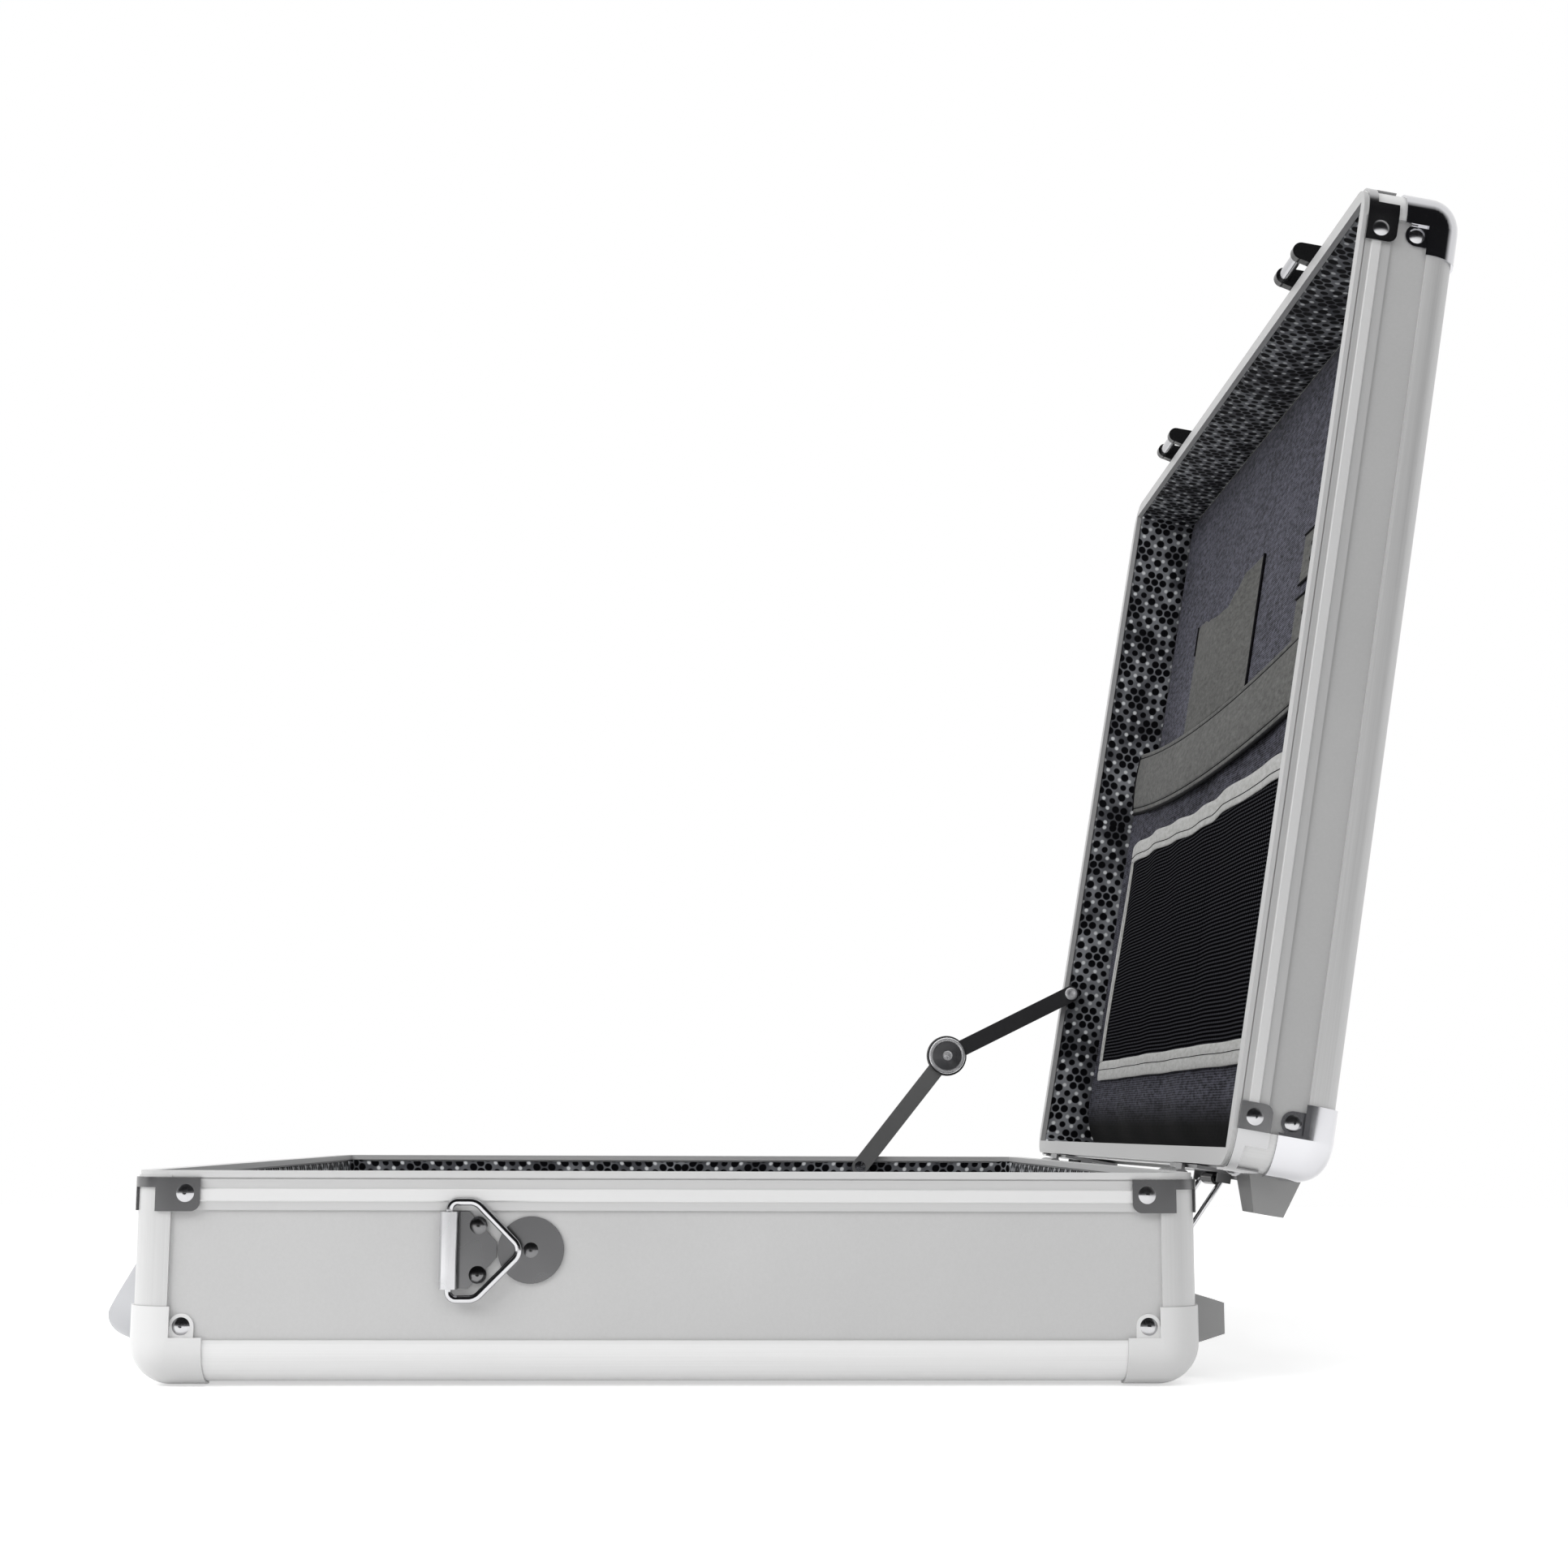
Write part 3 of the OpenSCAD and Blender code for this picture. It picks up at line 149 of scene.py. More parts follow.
def paint(tree, shader, share, tones, height, surface, gloss=None):
    # a colour between two tones, the relief and, where it varies, the roughness
    shade = addNode(tree, "Mix", {"data_type": "RGBA", 0: share, 6: tones[0], 7: tones[1]})
    bump = addNode(tree, "Bump", {"Strength": surface["relief"], "Distance": surface["depth"] * mm,
                                  "Height": height})
    tree.links.new(shade.outputs[2], shader.inputs["Base Color"])
    tree.links.new(bump.outputs[0], shader.inputs["Normal"])
    if gloss:
        tree.links.new(gloss.outputs[0], shader.inputs["Roughness"])


# Noise scales below are features per millimetre
board = {"peel": 1.2, "cloud": 0.012, "cloudShare": 0.7, "relief": 0.05, "depth": 0.2}


def silverBoard(name, colours, onLid):
    # ABS board with a pressed silver laminate: pale and satin, with a faint orange peel
    material, tree, shader, place = newMaterial(name, {"Metallic": 0.12, "Roughness": 0.45}, onLid)
    peel = addNode(tree, "TexNoise", {"Scale": board["peel"], "Detail": 3, "Vector": place})
    cloud = addNode(tree, "TexNoise", {"Scale": board["cloud"], "Detail": 2, "Vector": place})
    tone = addNode(tree, "Mix", {"data_type": "FLOAT", 0: board["cloudShare"], 2: peel, 3: cloud})
    share = addNode(tree, "MapRange", {"From": (0.3, 0.7), "Value": tone})
    paint(tree, shader, share, colours, peel, board)
    return material


bar = {
    # scales of the die lines on a lying bar and on a standing post
    "level": (0.01, 0.01, 2.2),
    "upright": (2.2, 2.2, 0.004),
    "gloss": (0.3, 0.4),
    "relief": 0.04,
    "depth": 0.1,
}
rims = {
    "halves": (215, 170),
    "grooves": (-0.5, -0.12),  # from where surfaces inside those sides are grooves to where they are lands
    "wear": 0.2,
    "gloss": (0.42, 0.28),
}


def anodisedBar(name, colours, onLid, kind="level"):
    # extruded aluminium, satin anodised: fine die lines run along each bar
    material, tree, shader, place = newMaterial(name, {"Metallic": 0.3}, onLid)
    scale = bar["upright"] if kind == "upright" else bar["level"]
    stretched = addNode(tree, "Mapping", {"Scale": scale, "Vector": place})
    lines = addNode(tree, "TexNoise", {"Scale": 1, "Detail": 3, "Vector": stretched})
    if kind == "ribbed":
        # painted shade: a rim's grooves take a darker colour than its raised lands, and the lands are
        # glossier
        parts = addNode(tree, "SeparateXYZ", {0: place}).outputs
        sides = []
        for part, half in zip(parts, rims["halves"]):
            reach = addNode(tree, "Math", {"operation": "ABSOLUTE", 0: part})
            sides.append(addNode(tree, "Math", {"operation": "SUBTRACT", 0: reach, 1: half}))
        proud = addNode(tree, "Math", {"operation": "MAXIMUM", 0: sides[0], 1: sides[1]})
        land = addNode(tree, "MapRange", {"From": rims["grooves"], "Value": proud})
        share = addNode(tree, "Math", {"operation": "MULTIPLY_ADD", 0: lines, 1: rims["wear"], 2: land})
        gloss = addNode(tree, "MapRange", {"To": rims["gloss"], "Value": land})
    else:
        share = addNode(tree, "MapRange", {"From": (0.25, 0.75), "Value": lines})
        gloss = addNode(tree, "MapRange", {"From": (0.3, 0.7), "To": bar["gloss"], "Value": lines})
    paint(tree, shader, share, colours, lines, bar, gloss)
    return material


steel = {
    "wipe": 0.08,
    "gloss": (0.85, 1.2),
    "rolledWidth": 5.6,  # edge of a ring plate that is rolled over the ring
    "blur": 0.2,
    # colour of the painted highlight on a rolled edge
    "rolled": "#dcdcde",
}


def platedSteel(name, colour, roughness, onLid=False, metallic=1.0, rolled=None):
    # pressed steel with a bright plating, which handling dulls in soft patches
    material, tree, shader, place = newMaterial(name, {"Metallic": metallic, "Base Color": colour}, onLid)
    wipe = addNode(tree, "TexNoise", {"Scale": steel["wipe"], "Detail": 1, "Vector": place})
    gloss = addNode(tree, "MapRange", {"From": (0.3, 0.7), "Value": wipe,
                                       "To": [roughness * limit for limit in steel["gloss"]]})
    if rolled:
        # painted highlight: the rolled edge takes a brighter colour than the plate
        depth = addNode(tree, "SeparateXYZ", {0: place}).outputs[1]
        bright = addNode(tree, "MapRange", {"From": (rolled + steel["blur"], rolled), "Value": depth})
        shade = addNode(tree, "Mix", {"data_type": "RGBA", 0: bright, 6: colour, 7: steel["rolled"]})
        tree.links.new(shade.outputs[2], shader.inputs["Base Color"])
    tree.links.new(gloss.outputs[0], shader.inputs["Roughness"])
    return material


moulding = {"spark": 2.5, "depth": 0.2}


def mouldedPlastic(name, colour, roughness, grain, onLid=False):
    # an even colour, and on moulded plastic the fine grain of a spark-eroded mould
    settings = {"Roughness": roughness, "Base Color": colour, "IOR": 1.53}
    material, tree, shader, place = newMaterial(name, settings, onLid)
    spark = addNode(tree, "TexNoise", {"Scale": moulding["spark"], "Detail": 4, "Vector": place})
    bump = addNode(tree, "Bump", {"Strength": grain, "Distance": moulding["depth"] * mm, "Height": spark})
    tree.links.new(bump.outputs[0], shader.inputs["Normal"])
    return material


honeycomb = {
    "cluster": 18.1,  # from one seven-cell cluster to the next
    "cell": 4.27,  # from cell to cell in a cluster
    "radii": (1.82, 1.82, 1.9, 1.5),  # middle cell, outer cells, cell between clusters, small cells there
    "blur": (-0.2, 0.25),  # how softly a cell's edge ends, inwards and outwards
    "knotShare": 1.74,  # distance of a knot from the cluster's middle, in cells
    "knotRadii": (1.25, 0.55),
    "glow": 0.05,
    "relief": 0.4,
    "depth": 0.4,
    "hole": "#09090c",
    "web": "#4a4b4f",
    "pale": "#808286",
    "knot": "#cfd1d3",
}


def honeycombLining(name, onLid, onFloor=False):
    # foam-backed polyester printed with a honeycomb: clusters of black cells in a grey web with pale knots
    material, tree, shader, place = newMaterial(name, {"Specular IOR Level": 0.15}, onLid)
    parts = addNode(tree, "SeparateXYZ", {0: place}).outputs
    across, upward = parts[1], parts[0]
    if not onFloor:
        across = parts[2]
        # this runs evenly round the rounded corners as well as along the walls
        sides = [addNode(tree, "Math", {"operation": "ABSOLUTE", 0: part}) for part in parts[:2]]
        upward = addNode(tree, "Math", {"operation": "SUBTRACT", 0: sides[0], 1: sides[1]})
    flat = addNode(tree, "CombineXYZ", {0: across, 1: upward})
    pitch, cell = honeycomb["cluster"], honeycomb["cell"]
    half = (pitch / 2, pitch * math.sqrt(3) / 2, 1)
    # the print repeats from the nearest cluster's middle
    wraps = []
    for shift in ((0, 0, 0), (half[0], half[1], 0)):
        moved = addNode(tree, "VectorMath", {"operation": "ADD", 0: flat, 1: shift})
        wraps.append(addNode(tree, "VectorMath", {"operation": "WRAP", 0: moved, 1: half,
                                                  2: (-half[0], -half[1], -1)}))
    reaches = [addNode(tree, "VectorMath", {"operation": "LENGTH", 0: wrap}).outputs["Value"]
               for wrap in wraps]
    nearer = addNode(tree, "Math", {"operation": "LESS_THAN", 0: reaches[1], 1: reaches[0]})
    local = addNode(tree, "Mix", {"data_type": "VECTOR", 0: nearer, 4: wraps[0], 5: wraps[1]}).outputs[1]
    # one twelfth of the cluster is drawn, and the rest is folded onto it
    legs = addNode(tree, "SeparateXYZ", {0: local}).outputs
    angle = addNode(tree, "Math", {"operation": "ARCTAN2", 0: legs[1], 1: legs[0]})
    turned = addNode(tree, "Math", {"operation": "FLOORED_MODULO", 0: angle, 1: math.pi / 3})
    folded = addNode(tree, "Math", {"operation": "SUBTRACT", 0: turned, 1: math.pi / 6})
    wedge = addNode(tree, "Math", {"operation": "ABSOLUTE", 0: folded})
    reach = addNode(tree, "VectorMath", {"operation": "LENGTH", 0: local}).outputs["Value"]
    ray = addNode(tree, "CombineXYZ", {0: reach})
    spin = addNode(tree, "VectorRotate", {"rotation_type": "Z_AXIS", "Angle": wedge, "Vector": ray})
    cosine, sine = math.cos(math.pi / 6), math.sin(math.pi / 6)
    spots = ((0, 0, 0), (cell * cosine, cell * sine, 0), (pitch / math.sqrt(3), 0, 0),
             (pitch / 2 * cosine, pitch / 2 * sine, 0))
    dark = 1.0
    for spot, radius in zip(spots, honeycomb["radii"]):
        away = addNode(tree, "VectorMath", {"operation": "DISTANCE", 0: spin, 1: spot}).outputs["Value"]
        disc = addNode(tree, "MapRange", {"interpolation_type": "SMOOTHSTEP", "Value": away,
                                          "From": [radius + blur for blur in honeycomb["blur"]]})
        dark = addNode(tree, "Math", {"operation": "MINIMUM", 0: dark, 1: disc})
    away = addNode(tree, "VectorMath", {"operation": "DISTANCE", 0: spin,
                                        1: (cell * honeycomb["knotShare"], 0, 0)}).outputs["Value"]
    knot = addNode(tree, "MapRange", {"interpolation_type": "SMOOTHSTEP", "From": honeycomb["knotRadii"],
                                      "Value": away})
    glow = addNode(tree, "TexNoise", {"Scale": honeycomb["glow"], "Detail": 2, "Vector": place})
    paler = addNode(tree, "MapRange", {"From": (0.4, 0.62), "Value": glow})
    web = addNode(tree, "Mix", {"data_type": "RGBA", 0: paler, 6: honeycomb["web"],
                                7: honeycomb["pale"]}).outputs[2]
    lit = addNode(tree, "Mix", {"data_type": "RGBA", 0: knot, 6: web, 7: honeycomb["knot"]}).outputs[2]
    gloss = addNode(tree, "MapRange", {"To": (0.8, 0.5), "Value": dark})
    paint(tree, shader, dark, (honeycomb["hole"], lit), dark, honeycomb, gloss)
    return material


weaving = {
    "steep": 1.7,  # a twill's second row of threads against its first
    "slub": (0.21, 0.525, 0.525),  # scales of the slubs: long across the lid and short the other way
    "fade": 0.03,
    "fadeShare": 0.15,
    "threadShare": 0.12,
    # colour of the painted shade at the pocket's end, near black
    "satin": "#050506",
    "paintedShadeEnd": (141, 153),  # where the pocket's cloth darkens into painted shade
    "relief": 0.4,
    "depth": 0.3,
}


# with satin set, the cloth darkens into painted shade towards the pocket's end by the hinges
def wovenCloth(name, colours, thread, weaveKind, contrast=0.3, sheen=0.1, satin=False):
    # woven polyester, its threads drawn a little coarser than real so that they show
    settings = {"Roughness": 0.9, "Specular IOR Level": 0.08, "Sheen Weight": sheen, "Sheen Roughness": 0.4}
    material, tree, shader, place = newMaterial(name, settings, True)
    parts = addNode(tree, "SeparateXYZ", {0: place}).outputs
    turn = 2 * math.pi / thread
    warp, weft = [addNode(tree, "Math", {"operation": "MULTIPLY", 0: part, 1: turn}) for part in parts[:2]]
    if weaveKind == "twill":
        warp = addNode(tree, "Math", {"operation": "ADD", 0: warp, 1: weft})
        weft = addNode(tree, "Math", {"operation": "MULTIPLY", 0: weft, 1: weaving["steep"]})
    weave, weftWave = [addNode(tree, "Math", {"operation": "SINE", 0: rows}) for rows in (warp, weft)]
    if weaveKind != "grosgrain":
        joined = "ADD" if weaveKind == "twill" else "MULTIPLY"
        weave = addNode(tree, "Math", {"operation": joined, 0: weave, 1: weftWave})
    # slubs run along the weft, and the cloth fades in soft patches
    slub = addNode(tree, "Mapping", {"Scale": weaving["slub"], "Vector": place})
    fuzz = addNode(tree, "TexNoise", {"Scale": 1, "Detail": 2, "Roughness": 0.75, "Vector": slub})
    fade = addNode(tree, "TexNoise", {"Scale": weaving["fade"], "Detail": 2, "Vector": place})
    mixed = addNode(tree, "Mix", {"data_type": "FLOAT", 0: weaving["fadeShare"], 2: fuzz, 3: fade})
    tone = addNode(tree, "Math", {"operation": "MULTIPLY_ADD", 0: weave, 1: weaving["threadShare"], 2: mixed})
    share = addNode(tree, "MapRange", {"From": (0.5 - contrast, 0.5 + contrast), "Value": tone})
    if satin:
        # painted shade: the pocket's cloth darkens to near black by the hinges, where its end turns down away
        # from the light
        black = addNode(tree, "MapRange", {"From": weaving["paintedShadeEnd"], "Value": parts[1]})
        cloth = addNode(tree, "Mix", {"data_type": "RGBA", 0: share, 6: colours[0], 7: colours[1]}).outputs[2]
        share, colours = black, (cloth, weaving["satin"])
    paint(tree, shader, share, colours, tone, weaving)
    return material


knit = {
    "rib": 1.6,  # from rib to rib, where the real one has about 1
    "eye": 2.72,  # from eye to eye along a rib
    "eyeShare": 0.7,
    "colours": ("#030304", "#3c3c40"),
    "relief": 0.5,
    "depth": 0.4,
}


def meshCloth(name):
    # black warp-knitted mesh: ribs across the pocket with open eyes between them
    material, tree, shader, place = newMaterial(name, {"Roughness": 1, "Specular IOR Level": 0}, True)
    parts = addNode(tree, "SeparateXYZ", {0: place}).outputs
    waves = []
    for part, spacing in ((parts[1], knit["rib"]), (parts[0], knit["eye"])):
        turn = addNode(tree, "Math", {"operation": "MULTIPLY", 0: part, 1: 2 * math.pi / spacing})
        waves.append(addNode(tree, "Math", {"operation": "SINE", 0: turn}))
    tone = addNode(tree, "Math", {"operation": "MULTIPLY_ADD", 0: waves[1], 1: knit["eyeShare"], 2: waves[0]})
    share = addNode(tree, "MapRange", {"From": (-0.2, 1.2), "Value": tone})
    paint(tree, shader, share, knit["colours"], tone, knit)
    return material


finish = {
    "baseBoard": silverBoard("silver laminate board", ("#bdbdbd", "#c6c6c6"), False),
    # painted shade: the lid's board is a darker copy of the base's, as the upright lid gets less light
    "lidBoard": silverBoard("silver laminate lid board in painted shade", ("#a7a7a7", "#b0b0b0"), True),
    "baseBar": anodisedBar("satin anodised aluminium", ("#dadada", "#e0e0e0"), False),
    # painted shade: the lid's bars are a darker copy of the base's, as the upright lid gets less light
    "lidBar": anodisedBar("satin anodised aluminium of the lid in painted shade", ("#c2c2c2", "#cbcbcb"), True),
    # painted shade: a rim's grooves take the darker of its two colours, and the lid's rim is a darker copy of
    # the base's
    "baseRim": anodisedBar("ribbed anodised rim with painted shade in its grooves", ("#c9c9c9", "#e6e6e6"), False, "ribbed"),
    "lidRim": anodisedBar("ribbed anodised lid rim in painted shade", ("#b2b2b2", "#dcdcdc"), True, "ribbed"),
    # painted shade: the base's posts are darker than its bars, taking back the key lamp's light on the front
    # post
    "basePost": anodisedBar("satin anodised corner post in painted shade", ("#c9c9c9", "#cfcfcf"), False, "upright"),
    "lidPost": anodisedBar("satin anodised lid post", ("#cccccc", "#d4d4d4"), True, "upright"),
    "cap": mouldedPlastic("silver lacquered steel", "#d8d8d8", 0.34, 0.0),
    "lidCap": platedSteel("bright chromed steel", "#cdcdd0", 0.1, True),
    # painted reflection: the base's clips take a dark grey, the dark their plating mirrors, where the lid's
    # clips of the same steel are pale
    "clip": platedSteel("nickelled steel", "#747475", 0.22),
    "lidClip": platedSteel("polished nickelled steel", "#b4b4b5", 0.2, True),
    "rivet": platedSteel("bright nickelled steel", "#bcbcbe", 0.24),
    "plated": platedSteel("zinc-plated steel", "#757576", 0.3),
    # painted highlight: the ring plate's rolled edge is paler than the plate
    "ringPlate": platedSteel("zinc-plated ring plate", "#757576", 0.26, False, 1.0,
                             baseBox("ring_plates")[0].y + steel["rolledWidth"]),
    "wire": platedSteel("drawn and nickelled steel wire", "#c4c4c6", 0.14),
    "darkArm": platedSteel("blackened steel", "#4a4a4c", 0.42, False, 0.6),
    "greyArm": platedSteel("oiled steel", "#8a8a8a", 0.45, False, 0.5),
    "chrome": platedSteel("polished chrome", "#bcbcbf", 0.16),
    "elbow": platedSteel("satin chromed cover", "#ececee", 0.24, False, 0.6),
    # painted reflection: grey for the dark that the cover's sunk chrome mirrors
    "dish": platedSteel("grey painted reflection in the cover's dish", "#6a6a6c", 0.3, False, 0.5),
    "foot": mouldedPlastic("grey moulded ABS", "#9a9a9a", 0.5, 0.12),
    "handle": mouldedPlastic("silver moulded ABS", "#d0d1d4", 0.35, 0.04),
    "black": mouldedPlastic("gloss black nylon", "#161617", 0.22, 0.05, True),
    "lining": honeycombLining("honeycomb lining", False),
    "lidLining": honeycombLining("honeycomb lid lining", True),
    "floorLining": honeycombLining("honeycomb floor pad", False, True),
    "slate": wovenCloth("slate twill polyester", ("#0b0b10", "#5a5a66"), 1.7, "twill", 0.11),
    # painted shade: the document pocket darkens towards its end by the hinges
    "pocketSlate": wovenCloth("slate twill with painted shade at its end", ("#0a0a0f", "#4e4e58"), 1.7, "twill", 0.11,
                              0.03, True),
    "grey": wovenCloth("grey plain-weave polyester", ("#3f3f3e", "#656563"), 1.4, "plain", 0.24),
    "piping": wovenCloth("black woven piping", ("#0b0b0c", "#1d1d20"), 0.8, "plain", 0.3, 0.0),
    "binding": wovenCloth("light grosgrain binding", ("#8f8f8b", "#bababa"), 1.4, "grosgrain", 0.3),
    "mesh": meshCloth("black knitted mesh"),
}


dressing = {
    "baseBoard": "base_bottom_board base_front_panel base_back_panel base_right_panel base_left_panel",
    "lidBoard": "lid_top_board lid_front_panel lid_back_panel lid_right_panel lid_left_panel",
    "baseBar": "base_edge_bars",
    "lidBar": "lid_edge_bars",
    "baseRim": "base_rim_frame",
    "lidRim": "lid_rim_frame",
    "basePost": "base_corner_posts",
    "lidPost": "lid_corner_posts",
    "cap": "base_corner_caps",
    "lidCap": "lid_corner_caps",
    "clip": "base_corner_clips",
    "lidClip": "lid_corner_clips",
    "rivet": "base_rivets lid_rivets",
    "foot": "base_rear_feet lid_rear_feet",
    "handle": "handle_grip",
    "black": "keeper_cheeks bail_sleeves",
    "ringPlate": "ring_plates",
    "plated": "ring_discs hinge_base_leaves hinge_lid_leaves latch_keepers",
    "wire": "strap_ring_right strap_ring_left hinge_bail_right hinge_bail_left",
    "darkArm": "stay_upper_arm",
    "greyArm": "stay_lower_arm",
    "chrome": "stay_elbow_cover stay_base_pivot stay_lid_stud keeper_rollers handle_pins latch_pins "
              "hinge_pins handle_brackets latch_bodies latch_hasp_right latch_hasp_left",
}
for kind, names in dressing.items():
    for name in names.split():
        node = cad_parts[name]
        if not node.material_slots:
            node.data.materials.append(finish[kind])
        for held in node.material_slots:
            held.material = finish[kind]
print("materials assigned")


def finishPiece(name, form, material, body, thickness=0.0, smooth=1):
    form.transform(Matrix.Scale(mm, 4) @ (lidTurn if body == "lid" else Matrix.Identity(4)))
    data = bpy.data.meshes.new(name)
    form.to_mesh(data)
    form.free()
    for face in data.polygons:
        face.use_smooth = True
    data.materials.append(material)
    piece = addObject(name, data)
    if thickness:
        wall = piece.modifiers.new("thickness", "SOLIDIFY")
        wall.thickness = thickness * mm
        wall.offset = -1
    if smooth:
        rounded = piece.modifiers.new("soft", "SUBSURF")
        rounded.levels = rounded.render_levels = smooth
    if body:
        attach(piece, body)
    return piece


def clothForm(cells, shape):
    # a grid whose points are laid by shape(across, along), both from 0 to 1, facing into the case
    form = bmesh.new()
    bmesh.ops.create_grid(form, x_segments=cells[0], y_segments=cells[1], size=0.5)
    for v in form.verts:
        v.co = shape(v.co.x + 0.5, v.co.y + 0.5)
    bmesh.ops.reverse_faces(form, faces=form.faces[:])
    return form


def sheetPiece(name, cells, shape, material, replaced, thickness=0.9):
    form = clothForm(cells, shape)
    area = sum(f.calc_area() for f in form.faces) * mm * mm
    piece = finishPiece(name, form, material, "lid", thickness)
    if replaced:
        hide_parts(replaced)


# radii of the beads
beads = {"seam": 0.32, "endSeam": 0.4, "cord": 0.7, "thread": 0.24, "ridge": 0.3, "piping": 0.6, "loop": 0.5}


def beadPiece(name, points, radius, material=finish["piping"]):
    # a round bead of piping, or a row of thread, along a line on the lid
    curve = bpy.data.curves.new(name + "Line", "CURVE")
    curve.dimensions = "3D"
    curve.bevel_depth = radius
    curve.bevel_resolution = 1
    curve.use_fill_caps = True
    line = curve.splines.new("POLY")
    line.points.add(len(points) - 1)
    for point, place in zip(line.points, points):
        point.co = (*place, 1)
    drawn = addObject(name + "Line", curve)
    bpy.context.view_layer.update()
    data = bpy.data.meshes.new_from_object(drawn.evaluated_get(bpy.context.evaluated_depsgraph_get()))
    bpy.data.objects.remove(drawn)
    bpy.data.curves.remove(curve)
    form = bmesh.new()
    form.from_mesh(data)
    bpy.data.meshes.remove(data)
    bmesh.ops.remove_doubles(form, verts=form.verts[:], dist=0.001)
    bmesh.ops.recalc_face_normals(form, faces=form.faces[:])
    finishPiece(name, form, material, "lid", smooth=0)


def trace(place, start, end, steps, lift=0.1):
    # points of a line that lies a little in front of the lid's cloth
    return [place(start + (end - start) * i / steps) - Vector((0, 0, lift)) for i in range(steps + 1)]


def pathLength(width, depth, radius):
    # length of a flat-bottomed U with rounded corners
    return 2 * (depth - radius) + math.pi * radius + width - 2 * radius


def roundedPath(share, width, depth, radius):
    # a point on that U: x, and how deep it is there
    quarter = math.pi * radius / 2
    rise = depth - radius
    total = pathLength(width, depth, radius)
    here = share * total
    mirrored = here > total / 2
    if mirrored:
        here = total - here
    if here < rise:
        x, down = -width / 2, here
    elif here < rise + quarter:
        angle = (here - rise) / radius
        x, down = -width / 2 + radius * (1 - math.cos(angle)), rise + radius * math.sin(angle)
    else:
        x, down = -width / 2 + radius + here - rise - quarter, depth
    return (-x if mirrored else x), down


def bell(value):
    # 1 in the middle, and 0 from 1 outwards
    return max(0.0, 1 - value * value)


def ripple(x, y, wave):
    # soft folds: the wave gives their height, how close they are, how far they bend and how often
    return wave[0] * math.sin(wave[1] * x + wave[2] * math.sin(wave[3] * y))


def alongTable(table, x):
    # a smooth line through points (x, y) that run from left to right
    if x <= table[0][0]:
        return table[0][1]
    for (x0, y0), (x1, y1) in zip(table, table[1:]):
        if x <= x1:
            share = (x - x0) / (x1 - x0)
            return y0 + (y1 - y0) * (3 - 2 * share) * share * share
    return table[-1][1]


puffing = {"frames": 16, "mass": 0.02}


def puffUp(form, held, foam):
    # foam pushes its cover out, by no more than foam["most"]: a short cloth simulation
    form.verts.index_update()
    data = bpy.data.meshes.new("cover")
    form.to_mesh(data)
    data.transform(Matrix.Scale(mm, 4))
    cover = addObject("cover", data)
    cover.vertex_groups.new(name="held").add([v.index for v in held], 1.0, "REPLACE")
    cloth = cover.modifiers.new("cloth", "CLOTH")
    cloth.settings.vertex_group_mass = "held"
    cloth.settings.mass = puffing["mass"]
    cloth.settings.use_pressure = True
    cloth.settings.uniform_pressure_force = foam["pressure"]
    cloth.settings.effector_weights.gravity = 0
    for number in range(puffing["frames"]):
        bpy.context.scene.frame_set(number + 1)
    moved = cover.evaluated_get(bpy.context.evaluated_depsgraph_get()).data.vertices
    furthest = 0.0
    for v in form.verts:
        shift = moved[v.index].co / mm - v.co
        furthest = max(furthest, shift.length)
        if shift.length > foam["most"]:
            shift *= foam["most"] / shift.length
        v.co += shift
    bpy.data.objects.remove(cover)
    bpy.data.meshes.remove(data)
    bpy.context.scene.frame_set(1)
    print("cover pushed out by up to", round(furthest, 2), "mm")


lining = {
    "cornerRound": 8,
    "cornerSteps": 6,
    "thickness": 1.6,
    "cuts": 40,  # along each wall
    "rows": 14,
    "heldRim": 1,
    "swell": 0.35,
    "wave": (0.2, 0.05, 0.04),
    "wall": 1.5,  # what is this close to a wall's plane belongs to it
    "inset": 0.2,
    "pressure": 6,
    "most": 0.7,
}


